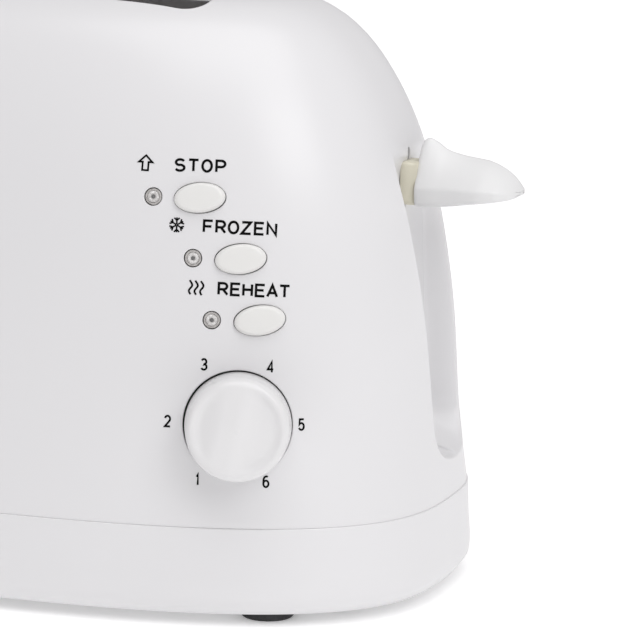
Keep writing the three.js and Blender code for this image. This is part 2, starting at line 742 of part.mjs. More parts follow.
function dialKnob() {
  const r = DIAL_RADIUS;
  const front = DIAL_PROUD;
  const profile = [[0, -4.6], [r, -4.6], [r, 4], [r - 0.5, front - 3.2], [r - 1.6, front - 1.2],
    [r - 3.6, front - 0.3], [0, front]];
  const cap = turned(profile, 36, dialFrame());
  const bore = turned([[0, -6], [3 + GAP, -6], [3 + GAP, 6], [0, 6]], 16, dialFrame());
  return cap.subtract(bore);
}

function dialShaft() {
  return turned([[0, -7.4], [3, -7.4], [3, 5.5], [0, 5.5]], 16, dialFrame());
}

function timerPot() {
  return turned([[0, -12.4], [8, -12.4], [8, -7.7], [0, -7.7]], 20, dialFrame());
}

function buttonFrame(name) {
  const [x, z] = BUTTONS[name];
  const turn = THREE.MathUtils.degToRad(BUTTON_TURN[name]);
  const frame = frameAt(frontPoint(x, z), frontNormal(x, z));
  return frame.multiply(new THREE.Matrix4().makeRotationZ(turn));
}

function pushButton(name) {
  const frame = buttonFrame(name);
  const cap = prism(ellipse(BUTTON_HALF_WIDTH, BUTTON_HALF_HEIGHT), -4, BUTTON_PROUD - 0.6, frame);
  const crownCap = prism(ellipse(BUTTON_HALF_WIDTH - 0.9, BUTTON_HALF_HEIGHT - 0.9), 0, BUTTON_PROUD, frame);
  const stem = prism(ellipse(1.8, 1.8), -8.2, -3, frame, 3);
  return cap.add(crownCap).add(stem);
}

function indicatorLed(name) {
  const [x, z] = LEDS[name];
  const frame = frameAt(frontPoint(x, z), frontNormal(x, z));
  const profile = [[0, -7], [LED_RADIUS, -7], [LED_RADIUS, -0.6], [LED_RADIUS * 0.86, 0.5],
    [LED_RADIUS * 0.5, 1.1], [0, 1.3]];
  return turned(profile, 16, frame);
}

// Control board behind the front wall, with one tact switch under each button.
function controlBoard() {
  const centreZ = 88;
  const centreX = 84;
  const origin = frontPoint(centreX, centreZ);
  const normal = frontNormal(centreX, centreZ);
  const frame = frameAt(origin, normal);
  const face = -BOARD_BACK + 0.8;
  let board = prism(roundedRectangle(-24, 24, -46, 42, 2), face - 1.6, face, frame, 2);
  const toBoard = frame.clone().invert();
  for (const [x, z] of Object.values(BUTTONS)) {
    const spot = frontPoint(x, z).addScaledVector(frontNormal(x, z), -12).applyMatrix4(toBoard);
    const body = roundedRectangle(spot.x - 3, spot.x + 3, spot.y - 3, spot.y + 3, 0.5);
    board = board.add(prism(body, face - 0.5, face + 2.6, frame, 1));
  }
  return board;
}

function terminalBlock() {
  return box(82, 100, 38, 50, 16, 30);
}

// ---- Assembly -----------------------------------------------------------------------------

const WHITE_PLASTIC = { color: 0xf1f0ef, roughness: 0.28, metalness: 0 };
const IVORY_PLASTIC = { color: 0xf2efe4, roughness: 0.32, metalness: 0 };
const CLEAR_LENS = { color: 0xc9c7c2, roughness: 0.1, metalness: 0 };
const RUBBER = { color: 0x2a2a2a, roughness: 0.8, metalness: 0 };
const STEEL = { color: 0xb4b6b8, roughness: 0.38, metalness: 1 };
const BRIGHT_STEEL = { color: 0xd0d2d4, roughness: 0.22, metalness: 1 };
const MICA = { color: 0xb8a888, roughness: 0.6, metalness: 0 };
const RIBBON = { color: 0x6b6259, roughness: 0.5, metalness: 1 };
const BOARD = { color: 0x2f6b3c, roughness: 0.55, metalness: 0 };
const COPPER = { color: 0xb06a3a, roughness: 0.4, metalness: 1 };
const DARK_PLASTIC = { color: 0x3a3a3c, roughness: 0.5, metalness: 0 };

const toaster = new THREE.Group();
toaster.position.x = BODY_X;

function piece(name, solid, finish) {
  const mesh = new THREE.Mesh(geometryFrom(solid), new THREE.MeshStandardMaterial(finish));
  mesh.name = name;
  toaster.add(mesh);
}

piece('outer_shell', outerShell(), WHITE_PLASTIC);
piece('base', base(), WHITE_PLASTIC);
piece('crumb_tray', crumbTray(), WHITE_PLASTIC);
piece('cord_gland', cordGland(), DARK_PLASTIC);

let corner = 0;
for (const sx of [-1, 1]) {
  for (const sy of [-1, 1]) {
    corner += 1;
    piece(`foot_${corner}`, foot(sx * FOOT_X, sy * FOOT_Y), RUBBER);
    piece(`case_screw_${corner}`, caseScrew(sx * SCREW_X, sy * SCREW_Y), BRIGHT_STEEL);
  }
}

piece('lever_knob', leverKnob(), WHITE_PLASTIC);
piece('carriage', carriage(), STEEL);
piece('bread_rack_front', breadRack(-1), STEEL);
piece('bread_rack_rear', breadRack(1), STEEL);
piece('keeper_plate', keeperPlate(), BRIGHT_STEEL);
piece('guide_rod', guideRod(), BRIGHT_STEEL);
const [topZ, bottomZ] = [BRACKET_TOP_Z, BRACKET_BOTTOM_Z];
piece('rod_bracket_top', rodBracket(topZ, -10, SPRING_Y + 5, topZ, topZ + 8), STEEL);
piece('rod_bracket_bottom', rodBracket(bottomZ, -25, 10, bottomZ - 7, bottomZ + 1.5), STEEL);
piece('lift_spring', liftSpring(), BRIGHT_STEEL);
piece('magnet_core', magnetCore(), STEEL);
piece('magnet_coil', magnetCoil(), COPPER);

piece('chassis_end_left', chassisEnd(CHASSIS_X0), STEEL);
piece('chassis_end_right', chassisEnd(CHASSIS_X1), STEEL);
piece('slot_plate', slotPlate(), BRIGHT_STEEL);
piece('reflector_front', reflector(-1), BRIGHT_STEEL);
piece('reflector_rear', reflector(1), BRIGHT_STEEL);
piece('mica_front', micaSheet(-OUTER_MICA_Y), MICA);
piece('mica_centre', micaSheet(0), MICA);
piece('mica_rear', micaSheet(OUTER_MICA_Y), MICA);
piece('heater_front', heaterRibbon(-OUTER_MICA_Y, 1), RIBBON);
piece('heater_centre_front', heaterRibbon(0, -1), RIBBON);
piece('heater_centre_rear', heaterRibbon(0, 1), RIBBON);
piece('heater_rear', heaterRibbon(OUTER_MICA_Y, -1), RIBBON);
piece('bread_guard_1', breadGuard(-GUARD_Y_OUTER), STEEL);
piece('bread_guard_2', breadGuard(-GUARD_Y_INNER), STEEL);
piece('bread_guard_3', breadGuard(GUARD_Y_INNER), STEEL);
piece('bread_guard_4', breadGuard(GUARD_Y_OUTER), STEEL);

piece('dial_knob', dialKnob(), WHITE_PLASTIC);
piece('dial_shaft', dialShaft(), BRIGHT_STEEL);
piece('timer_pot', timerPot(), DARK_PLASTIC);
for (const name of Object.keys(BUTTONS)) piece(`${name}_button`, pushButton(name), IVORY_PLASTIC);
for (const name of Object.keys(LEDS)) piece(`${name}_led`, indicatorLed(name), CLEAR_LENS);
piece('control_board', controlBoard(), BOARD);
piece('terminal_block', terminalBlock(), DARK_PLASTIC);

export default toaster;
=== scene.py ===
"""Looks of a white two-slice pop-up toaster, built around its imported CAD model.

Shapes are worked out in millimetres from the middle of the housing, as in the CAD, and turned into
metres in the row frame when a mesh is made.
"""
import json
import math

import bpy
import numpy as np
from mathutils import Matrix, Vector, geometry, kdtree


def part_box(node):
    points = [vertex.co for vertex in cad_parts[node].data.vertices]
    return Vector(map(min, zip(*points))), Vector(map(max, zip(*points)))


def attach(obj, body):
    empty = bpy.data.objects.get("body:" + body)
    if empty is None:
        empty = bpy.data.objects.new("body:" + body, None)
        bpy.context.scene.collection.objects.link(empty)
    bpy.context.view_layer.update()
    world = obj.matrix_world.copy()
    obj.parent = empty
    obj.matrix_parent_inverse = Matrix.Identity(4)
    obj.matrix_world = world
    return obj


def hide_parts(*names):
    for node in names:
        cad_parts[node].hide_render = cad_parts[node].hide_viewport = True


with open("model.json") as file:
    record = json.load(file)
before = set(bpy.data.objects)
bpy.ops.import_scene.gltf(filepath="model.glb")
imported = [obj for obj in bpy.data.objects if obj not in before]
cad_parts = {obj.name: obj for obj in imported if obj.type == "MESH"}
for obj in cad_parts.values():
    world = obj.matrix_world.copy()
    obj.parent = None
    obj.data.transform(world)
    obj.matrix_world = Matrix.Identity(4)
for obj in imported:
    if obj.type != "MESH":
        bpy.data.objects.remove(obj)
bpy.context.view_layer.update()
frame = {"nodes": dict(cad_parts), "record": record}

MM = 0.001
TAU = 2 * math.pi

# ---- Places and sizes, in millimetres -------------------------------------------------------

SHELL_LOW, SHELL_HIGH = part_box("outer_shell")
BODY_X = (SHELL_LOW.x + SHELL_HIGH.x) / 2 / MM

# The housing's sections are superellipses that draw in from the seam to the knee of the crown.
SEAM_Z = 29.0
JOIN_Z = 150.0            # the side wall's mesh meets the crown's here
KNEE_Z = 157.0
TOP_Z = SHELL_HIGH.z / MM
HALF_LENGTH = (SHELL_HIGH.x - SHELL_LOW.x) / 2 / MM
HALF_DEPTH = SHELL_HIGH.y / MM
POWER = 2.87
MEAN_SECTION = (131, 70)  # half sizes of the section on which girth is measured
INSET_TERMS = {1: 22.84, 2: -21.66, 4: 43.08, 8: 3}    # the end wall's curve: factors by power
INSET_SPAN = 150.0
DEPTH_SHARE = 0.75        # of that curve, taken by the front and back walls
BULGE = 0.85              # of the end walls at mid height
BULGE_Z = 80
BULGE_SPREAD = 24
WALL = 2.5
TURN_Z = 138              # the wall is measured level up to here, and upright at the top
CROWN_LENGTH = 78.8       # half sizes of the crown's flat top
CROWN_DEPTH = 31.3
CROWN_RUN_X = 72.9        # heights of the ellipses round it
CROWN_RUN_Y = 80.0
CROWN_ROWS = (152.5, 155.5, 158.5, 161.5, 164.5, 167.3, 169.8, 171.9, 173.5, 174.7, 175.5, 175.9)
SEAM_ROUND = 0.06
LEDGE_ROUND = 0.35        # of the skirt's upper edge, which stands out from the housing
RING_STEPS = 288          # points in a ring round the housing
STEP = 3.0                # between the grid points of its walls
INNER_STEP = 6.0

SLOT_X = (-74.0, 66.0)    # bread slots
SLOT_Y = 19.5
SLOT_HALF_WIDTH = 13.0
SLOT_CORNER = 6.0
SLOT_LIP = 2.3

FLOOR_X = 119.8           # lever recess
RECESS_WIDE_Z = 122.0
CHANNEL_Z = 54.0
CHANNEL_DROP = 15.5       # from the channel's narrow stretch to its rounded end
SCOOP_Z = (38.0, 51.5)    # between these heights the floor curves out to the wall
SCOOP = 14.2              # how far out it comes
RECESS_FRONT = (9.3, 15.6)    # reach to -Y in the channel and where it is widest
RECESS_BACK = (31.0, 21.0)    # and to +Y
RECESS_END_Y = 12.0           # middle of its rounded end
RECESS_END_POWER = 2.5        # of that end's superellipse
RECESS_SIDE = (1.8, 5.0)      # widths of its sloping sides, front and back
FRONT_Y, BACK_Y = -9.0, 9.0   # places where only the front or only the back reach counts
RECESS_FADE_Z = 136.0     # the floor runs out into the wall below here
RECESS_FADE = 12          # over this height
RECESS_SOFT = 1.2         # how softly the floor leaves the wall
LEVER_SLOT_HALF = 1.0
LEVER_SLOT_Z = (50.0, 133.0)
LEVER_SLOT_EDGE = 0.25

BASE_BOTTOM = 3.0
BASE_TOP = SEAM_Z - 0.05
BASE_WALL = 3.2
BASE_FLOOR = 2.5
SKIRT_Z = (3.0, 3.5, 4.5, 6.0, 8.0, 11.0, 16.0, 22.0, 27.0, BASE_TOP)
SKIRT_GROWS = (-3.2, -1.5, -0.2, 0.8, 1.35, 1.35, 0.95, 0.6, 0.4, 0.35)    # beyond the housing
TRAY_X = (-79.5, 71.5)
TRAY_Z = (5.8, 13.0)
TRAY_GAP = 0.3
TRAY_CORNER = 0.8
GLAND = (58.0, 19.2)
GLAND_HOLE = 5.2
SCREW_X = 114.0
SCREW_Y = 34.0

BUTTONS = {"stop": (77.1, 122.4), "frozen": (89.4, 105.6), "reheat": (95.4, 88.4)}
LEDS = {"stop": (64.0, 122.3), "frozen": (76.4, 105.5), "reheat": (82.5, 88.2)}
BUTTON_TURN = {"stop": 4.7, "frozen": 5.3, "reheat": 7.4}   # degrees, outer end up
BUTTON_HALF = (7.3, 4.25)
BUTTON_SKEW = 0.9         # degrees: the keys sit turned in their holes, which are turned back as much
BUTTON_PROUD = 2.0
BUTTON_GAP = 0.15
BUTTON_DOME = 0.35        # rise of a key's top from its edge to its middle
BUTTON_EDGE = 1.25        # height of its rounded edge
LED_RADIUS = 2.5
LED_GAP = 0.12
DIAL = (90.8, 58.55)
DIAL_AZIMUTH = math.radians(19)
DIAL_TILT = math.radians(5)
DIAL_HOLE = 15.62
DIAL_SHIFT = 0.15         # the dial sits this much low and right in its hole
DIAL_RADIUS = 15.3
DIAL_PROUD = 14.5
DIAL_EDGE = 2.6           # radius of its rounded edge
DIAL_LIP = 0.55           # from that edge to the full radius
RIDGE_X = -3.0            # the ridge across its front: place, slant, half width and height
RIDGE_SLANT = 0.19
RIDGE_HALF = 1.0
RIDGE_HEIGHT = 1.6

# ---- Housing surface ------------------------------------------------------------------------


def inset(z):
    """How far the end wall stands in from its place at the seam, at a height."""
    k = np.maximum((z - SEAM_Z) / INSET_SPAN, 0)
    return sum(factor * k**power for power, factor in INSET_TERMS.items())


def crown(z, knee_size, flat_size, run):
    """Half size at a height of the crown, on an ellipse from the knee to the flat top."""
    start = 1 - (TOP_Z - KNEE_Z) / run
    reach = (knee_size - flat_size) / math.sqrt(1 - start**2)
    height = 1 - (TOP_Z - z) / run
    return flat_size + reach * np.sqrt(np.maximum(1 - height**2, 0))


def smooth(t):
    """Rises from 0 to 1 with no bend at either end."""
    t = np.clip(t, 0, 1)
    return t * t * t * (t * (6 * t - 15) + 10)


def half_sizes(z, depth=0.0):
    """Half length and half depth of the housing's section at a height, depth inside its skin."""
    z = np.asarray(z, float)
    turn = np.clip((z - TURN_Z) / (TOP_Z - depth - TURN_Z), 0, 1)
    level = z + depth * turn
    knee = inset(KNEE_Z)
    length = np.where(
        level <= KNEE_Z, HALF_LENGTH - inset(level),
        crown(level, HALF_LENGTH - knee, CROWN_LENGTH, CROWN_RUN_X))
    across = np.where(
        level <= KNEE_Z, HALF_DEPTH - DEPTH_SHARE * inset(level),
        crown(level, HALF_DEPTH - DEPTH_SHARE * knee, CROWN_DEPTH, CROWN_RUN_Y))
    edge = np.clip(SEAM_Z + SEAM_ROUND - z, 0, SEAM_ROUND)
    rounding = SEAM_ROUND - np.sqrt(SEAM_ROUND**2 - edge**2) if depth == 0 else 0
    back = depth * np.sqrt(1 - turn**2) + rounding
    bulge = BULGE * np.exp(-(((z - BULGE_Z) / BULGE_SPREAD) ** 2))
    return length + bulge - back, across - back


def base_sizes(z, depth=0.0):
    """Half length and half depth of the base's skirt at a height."""
    z = np.asarray(z, float)
    if depth:
        return HALF_LENGTH - depth + 0 * z, HALF_DEPTH - depth + 0 * z
    edge = np.clip(z - (BASE_TOP - LEDGE_ROUND), 0, LEDGE_ROUND)
    grow = smooth_line(z, SKIRT_Z, SKIRT_GROWS) - (LEDGE_ROUND - np.sqrt(LEDGE_ROUND**2 - edge**2))
    return HALF_LENGTH + grow, HALF_DEPTH + grow


def smooth_line(x, xs, ys):
    """A smooth curve through points, with slopes that never overshoot."""
    xs = np.asarray(xs, float)
    ys = np.asarray(ys, float)
    step = np.diff(xs)
    rise = np.diff(ys) / step
    slope = np.zeros_like(ys)
    slope[0] = rise[0]
    slope[-1] = rise[-1]
    same = rise[:-1] * rise[1:] > 0
    mean = 2 * rise[:-1] * rise[1:] / np.where(same, rise[:-1] + rise[1:], 1)
    slope[1:-1] = np.where(same, mean, 0)
    x = np.clip(np.asarray(x, float), xs[0], xs[-1])
    i = np.clip(np.searchsorted(xs, x) - 1, 0, len(xs) - 2)
    t = (x - xs[i]) / step[i]
    a = (1 + 2 * t) * (1 - t) ** 2
    b = t * (1 - t) ** 2
    c = t * t * (3 - 2 * t)
    d = t * t * (t - 1)
    return a * ys[i] + b * step[i] * slope[i] + c * ys[i + 1] + d * step[i] * slope[i + 1]


def signed_power(value, power):
    """A power of a value's size, with the value's sign."""
    return np.sign(value) * np.abs(value) ** power


def section_table():
    """Arc length round the section against its angle, from the middle of the back."""
    angle = np.linspace(0, TAU, 40001) + math.pi / 2
    x = MEAN_SECTION[0] * signed_power(np.cos(angle), 2 / POWER)
    y = MEAN_SECTION[1] * signed_power(np.sin(angle), 2 / POWER)
    run = np.concatenate([[0], np.cumsum(np.hypot(np.diff(x), np.diff(y)))])
    return angle, run


ANGLES, RUNS = section_table()
GIRTH = RUNS[-1]


def around(s, sizes):
    """X and Y on a section, s millimetres round from the back."""
    angle = np.interp(np.mod(s, GIRTH), RUNS, ANGLES)
    x = sizes[0] * signed_power(np.cos(angle), 2 / POWER)
    y = sizes[1] * signed_power(np.sin(angle), 2 / POWER)
    return x, y


def run_of(x, y, sizes):
    """How far round the section a point lies."""
    c = signed_power(x / sizes[0], POWER / 2)
    n = signed_power(y / sizes[1], POWER / 2)
    angle = np.mod(np.arctan2(n, c) - math.pi / 2, TAU) + math.pi / 2
    return np.interp(angle, ANGLES, RUNS)


def unit(v):
    """Vectors brought to length 1."""
    return v / np.maximum(np.linalg.norm(v, axis=-1, keepdims=True), 1e-12)


def wall_normal(x, y, z, size_of, depth=0.0):
    """Outward direction of a wall whose sections are superellipses."""
    step = 0.02
    a, b = size_of(z, depth)
    a_up, b_up = size_of(z + step, depth)
    a_low, b_low = size_of(z - step, depth)
    u = np.abs(x) / a
    v = np.abs(y) / b
    grad_x = np.sign(x) * u ** (POWER - 1) / a
    grad_y = np.sign(y) * v ** (POWER - 1) / b
    rise_a = (a_up - a_low) / (2 * step)
    rise_b = (b_up - b_low) / (2 * step)
    grad_z = -(u**POWER) * rise_a / a - (v**POWER) * rise_b / b
    return unit(np.stack([grad_x, grad_y, grad_z], -1))


def outside(point, depth):
    """Below 0 inside the housing's section at a point's height, above 0 outside it."""
    a, b = half_sizes(point[..., 2], depth)
    return np.abs(point[..., 0] / a) ** POWER + np.abs(point[..., 1] / b) ** POWER - 1


# ---- Lever recess ---------------------------------------------------------------------------


def toward_back(y):
    """0 in the front part of the recess and 1 in its back part."""
    return smooth((y + 5) / 10)


def recess_half(y, z, depth=0.0):
    """Half width of the recess, which reaches further to the back than to the front."""
    rise = np.clip((z - CHANNEL_Z) / (RECESS_WIDE_Z - CHANNEL_Z), 0, 1)
    front, back = (low + (high - low) * rise for low, high in (RECESS_FRONT, RECESS_BACK))
    return front + (back - front) * toward_back(y) + depth


def recess_share(y, z, depth=0.0):
    """0 outside the recess, 1 on its floor, and between them on its sides."""
    half = recess_half(y, z, depth)
    drop = np.maximum(CHANNEL_Z - z, 0) / (CHANNEL_DROP + depth)
    front = recess_half(FRONT_Y, z, depth) + RECESS_END_Y
    back = recess_half(BACK_Y, z, depth) - RECESS_END_Y
    reach = np.where(y < RECESS_END_Y, front, back)
    across = np.abs((y - RECESS_END_Y) / reach) ** RECESS_END_POWER
    bottom = reach * (1 - (across + drop**RECESS_END_POWER) ** (1 / RECESS_END_POWER))
    inside = np.where(z >= CHANNEL_Z, half - np.abs(y), np.minimum(bottom, half - np.abs(y)))
    width = RECESS_SIDE[0] + (RECESS_SIDE[1] - RECESS_SIDE[0]) * toward_back(y)
    return smooth(inside / width)


def recess_floor(z, depth=0.0):
    """X of the recess's floor: upright, and curving out at its lower end."""
    drop = np.clip((SCOOP_Z[1] - z) / (SCOOP_Z[1] - SCOOP_Z[0]), 0, 1)
    return FLOOR_X + SCOOP * drop**1.9 - depth


def end_wall_x(y, z, depth=0.0):
    """X of the +X end wall with its recess, as a height over Y and Z."""
    a, b = half_sizes(z, depth)
    plain = a * np.maximum(1 - np.abs(y / b) ** POWER, 1e-9) ** (1 / POWER)
    below = plain - recess_floor(z, depth)
    hollow = 0.5 * (below + np.sqrt(below**2 + RECESS_SOFT**2)) - 0.05
    hollow = np.maximum(hollow, 0) * smooth((RECESS_FADE_Z - z) / RECESS_FADE)
    return plain - hollow * recess_share(y, z, depth)


def side_surface(s, z, depth=0.0):
    """Points and outward directions of the shell's side wall."""
    sizes = half_sizes(z, depth)
    x, y = around(s, sizes)
    normal = wall_normal(x, y, z, half_sizes, depth)
    end = (x > 60) & (np.abs(y) < 40) & (z < JOIN_Z)
    if np.any(end):
        ye, ze = y[end], z[end]
        step = 0.04
        slope_y = (end_wall_x(ye + step, ze, depth) - end_wall_x(ye - step, ze, depth)) / (2 * step)
        slope_z = (end_wall_x(ye, ze + step, depth) - end_wall_x(ye, ze - step, depth)) / (2 * step)
        x = x.copy()
        x[end] = end_wall_x(ye, ze, depth)
        normal[end] = unit(np.stack([np.ones_like(ye), -slope_y, -slope_z], -1))
    return np.stack([x, y, z], -1), normal


def base_surface(s, z, depth=0.0):
    """Points and outward directions of the base's skirt."""
    x, y = around(s, base_sizes(z, depth))
    return np.stack([x, y, z], -1), wall_normal(x, y, z, base_sizes, depth)


def crown_surface(x, y, depth=0.0):
    """Points and outward directions of the crown, over X and Y."""
    low = np.full_like(x, JOIN_Z - 1)
    high = np.full_like(x, TOP_Z - depth)
    for _ in range(40):
        middle = (low + high) / 2
        inside = outside(np.stack([x, y, middle], -1), depth) < 0
        low = np.where(inside, middle, low)
        high = np.where(inside, high, middle)
    z = (low + high) / 2
    normal = wall_normal(x, y, np.minimum(z, TOP_Z - depth - 0.03), half_sizes, depth)
    flat = z > TOP_Z - depth - 0.04
    normal[flat] = (0, 0, 1)
    return np.stack([x, y, z], -1), normal


def front_point(x, z):
    """The point of the front wall at a place seen from the front."""
    a, b = half_sizes(z)
    return np.stack([x, -b * (1 - (np.abs(x) / a) ** POWER) ** (1 / POWER), z], -1)


def front_normal(x, z):
    """The front wall's outward direction there."""
    point = front_point(x, z)
    return wall_normal(point[..., 0], point[..., 1], point[..., 2], half_sizes)


# ---- Local frames on the front wall ---------------------------------------------------------


class Patch:
    """A place on the front wall: u runs level, v runs up, n points out."""

    def __init__(self, x, z, direction=None, turn=0.0):
        self.origin = front_point(np.float64(x), np.float64(z))
        self.n = front_normal(np.float64(x), np.float64(z)) if direction is None else direction
        level = unit(np.cross((0.0, 0.0, 1.0), self.n))
        upright = np.cross(self.n, level)
        c, n = math.cos(math.radians(turn)), math.sin(math.radians(turn))
        self.u = c * level + n * upright
        self.v = c * upright - n * level

    def place(self, u, v, w=0.0):
        """Points from local coordinates."""
        u, v, w = np.broadcast_arrays(u, v, w)
        return self.origin + u[..., None] * self.u + v[..., None] * self.v + w[..., None] * self.n

    def on_wall(self, u, v, depth=0.0):
        """Where lines along n through local points meet the wall."""
        start = self.place(u, v)
        reach = np.zeros(start.shape[:-1])
        step = 0.01
        for _ in range(12):
            point = start + reach[..., None] * self.n
            value = outside(point, depth)
            value_ahead = outside(point + step * self.n, depth)
            reach = reach - value * step / np.maximum(value_ahead - value, 1e-9)
        return start + reach[..., None] * self.n


def dial_direction():
    """The way the dial faces."""
    flat = math.cos(DIAL_TILT)
    return np.array([
        math.sin(DIAL_AZIMUTH) * flat, -math.cos(DIAL_AZIMUTH) * flat, math.sin(DIAL_TILT)])


# ---- Meshes ---------------------------------------------------------------------------------


class Skin:
    """Vertices with their directions, and faces, gathered for one mesh."""

    def __init__(self):
        self.points = []
        self.normals = []
        self.faces = []

    def add(self, points, normals):
        """Adds vertices and returns their numbers."""
        start = len(self.points)
        self.points.extend(np.asarray(points, float).reshape(-1, 3).tolist())
        self.normals.extend(np.asarray(normals, float).reshape(-1, 3).tolist())
        return list(range(start, len(self.points)))

    def lay(self, sheet, points, normals):
        """Adds a sheet's points and triangles and returns the points' numbers."""
        index = self.add(points, normals)
        for face in sheet.faces():
            self.faces.append(tuple(index[i] for i in face))
        return index

    def strip(self, ring_a, ring_b):
        """Quads between two closed rings of the same number of points."""
        count = len(ring_a)
        for i in range(count):
            j = (i + 1) % count
            self.faces.append((ring_a[i], ring_a[j], ring_b[j], ring_b[i]))

    def weld(self, pairs):
        """Replaces vertices by others, from a dict of old to kept."""
        self.faces = [tuple(pairs.get(i, i) for i in face) for face in self.faces]

    def orient(self):
        """Turns every face the way its vertices' directions point."""
        points = np.array(self.points)
        normals = np.array(self.normals)
        turned = []
        for face in self.faces:
            a, b, c = (points[i] for i in face[:3])
            facing = np.cross(b - a, c - b)
            if len(face) == 4:
                facing = np.cross(c - a, points[face[3]] - b)
            wanted = sum(normals[i] for i in face)
            turned.append(face if facing @ wanted >= 0 else face[::-1])
        self.faces = turned

    def mesh(self, name):
        """The finished mesh, without unused vertices."""
        self.orient()
        used = sorted({i for face in self.faces for i in face})
        place = {old: new for new, old in enumerate(used)}
        points = [self.points[i] for i in used]
        normals = [self.normals[i] for i in used]
        return make_mesh(name, points, [tuple(place[i] for i in face) for face in self.faces], normals)


def make_mesh(name, points, faces, normals=None):
    """A smooth mesh from millimetres round the housing's middle."""
    mesh = bpy.data.meshes.new(name)
    row = (np.asarray(points, float) + (BODY_X, 0, 0)) * MM
    mesh.from_pydata(row.tolist(), [], faces)
    mesh.update()
    mesh.shade_smooth()
    if normals is not None:
        mesh.normals_split_custom_set_from_vertices([tuple(n) for n in normals])
    return mesh


def add_piece(name, mesh, body, material, replaces=()):
    """A visible piece on a body, in place of the given CAD nodes."""
    piece = bpy.data.objects.new(name, mesh)
    bpy.context.scene.collection.objects.link(piece)
    mesh.materials.append(material)
    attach(piece, body)
    if replaces:
        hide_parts(*replaces)
    return piece


def triangles(points, edges):
    """Delaunay triangles of flat points that keep the given edges."""
    flat = [Vector((float(p[0]), float(p[1]))) for p in points]
    result = geometry.delaunay_2d_cdt(flat, edges, [], 0, 1e-7)
    source = [origin[0] if origin else -1 for origin in result[3]]
    made = []
    for face in result[2]:
        corners = [source[i] for i in face]
        if -1 not in corners and len(set(corners)) == 3:
            made.append(tuple(corners))
    return made


class Sheet:
    """Flat points for a triangulated wall: fine lines first, then a grid that keeps clear of them."""

    def __init__(self):
        self.flat = []
        self.edges = []
        self.loops = []

    def dots(self, points):
        """Adds loose points."""
        self.flat.extend(tuple(map(float, p)) for p in points)

    def line(self, points, closed=False):
        """Adds joined points and returns their numbers."""
        start = len(self.flat)
        self.dots(points)
        index = list(range(start, len(self.flat)))
        self.edges.extend(zip(index[:-1], index[1:]))
        if closed:
            self.edges.append((index[-1], index[0]))
        return index

    def loop(self, points):
        """A hole's edge: triangles inside it are left out."""
        index = self.line(points, closed=True)
        self.loops.append(set(index))
        return index

    def fill(self, points, clearance, blocked):
        """Adds the grid points that stand clear of every line and outside the blocked places."""
        tree = kdtree.KDTree(len(self.flat))
        for i, p in enumerate(self.flat):
            tree.insert((p[0], p[1], 0), i)
        tree.balance()
        for p, stop in zip(points, blocked):
            if not stop and tree.find((p[0], p[1], 0))[2] > clearance:
                self.flat.append(tuple(map(float, p)))

    def faces(self):
        """Its triangles, outside the holes."""
        kept = []
        for face in triangles(self.flat, self.edges):
            corners = set(face)
            if not any(corners <= loop for loop in self.loops):
                kept.append(face)
        return kept


def grid(x_range, y_range, step):
    """Points in staggered rows."""
    rows = int(round((y_range[1] - y_range[0]) / (step * 0.87)))
    columns = int(round((x_range[1] - x_range[0]) / step))
    made = []
    for j in range(1, rows):
        y = y_range[0] + (y_range[1] - y_range[0]) * j / rows
        shift = 0.5 if j % 2 else 0.0
        for i in range(columns + 1):
            x = x_range[0] + (x_range[1] - x_range[0]) * (i + shift) / columns
            if x_range[0] < x < x_range[1]:
                made.append((x, y))
    return np.array(made)


# ---- Outer shell ----------------------------------------------------------------------------


def oval(half, offset, count):
    """Points of an oval, grown by an offset."""
    t = np.arange(count) / count * TAU
    return (half[0] + offset) * np.cos(t), (half[1] + offset) * np.sin(t)


def oval_out(half, count):
    """Outward direction of an oval in its own plane."""
    t = np.arange(count) / count * TAU
    return unit(np.stack([np.cos(t) / half[0], np.sin(t) / half[1]], -1))


def control_holes():
    """Patch, half sizes, number of points and edge rounding of each hole in the front wall."""
    holes = []
    half = (BUTTON_HALF[0] + BUTTON_GAP, BUTTON_HALF[1] + BUTTON_GAP)
    for name, place in BUTTONS.items():
        holes.append((Patch(*place, turn=BUTTON_TURN[name] - BUTTON_SKEW), half, 64, 0.35))
    for x, z in LEDS.values():
        holes.append((Patch(x, z), (LED_RADIUS + LED_GAP,) * 2, 36, 0.2))
    holes.append((Patch(*DIAL, dial_direction()), (DIAL_HOLE,) * 2, 96, 0.4))
    return holes


def rounded_rectangle(x_range, y_range, corner, grow, steps):
    """Outline, counter-clockwise, and its outward directions.

    The steps are for a corner, a side along X and a side along Y.
    """
    left, right = x_range[0] + corner, x_range[1] - corner
    low, high = y_range[0] + corner, y_range[1] - corner
    centres = np.array([(right, high), (left, high), (left, low), (right, low)])
    points = []
    outward = []
    for k, centre in enumerate(centres):
        turn = np.linspace(0, math.pi / 2, steps[0]) + k * math.pi / 2
        direction = np.stack([np.cos(turn), np.sin(turn)], -1)
        points.extend((centre + (corner + grow) * direction).tolist())
        outward.extend(direction.tolist())
        last = np.array(points[-1])
        following = centres[(k + 1) % 4] + (corner + grow) * direction[-1]
        count = steps[1 + k % 2]
        for i in range(1, count):
            points.append((last + (following - last) * i / count).tolist())
            outward.append(direction[-1].tolist())
    return np.array(points), np.array(outward)


def slot_outline(offset):
    """A bread slot's outline about its own middle line, grown by an offset."""
    y_range = (-SLOT_HALF_WIDTH, SLOT_HALF_WIDTH)
    return rounded_rectangle(SLOT_X, y_range, SLOT_CORNER, offset, (12, 40, 8))


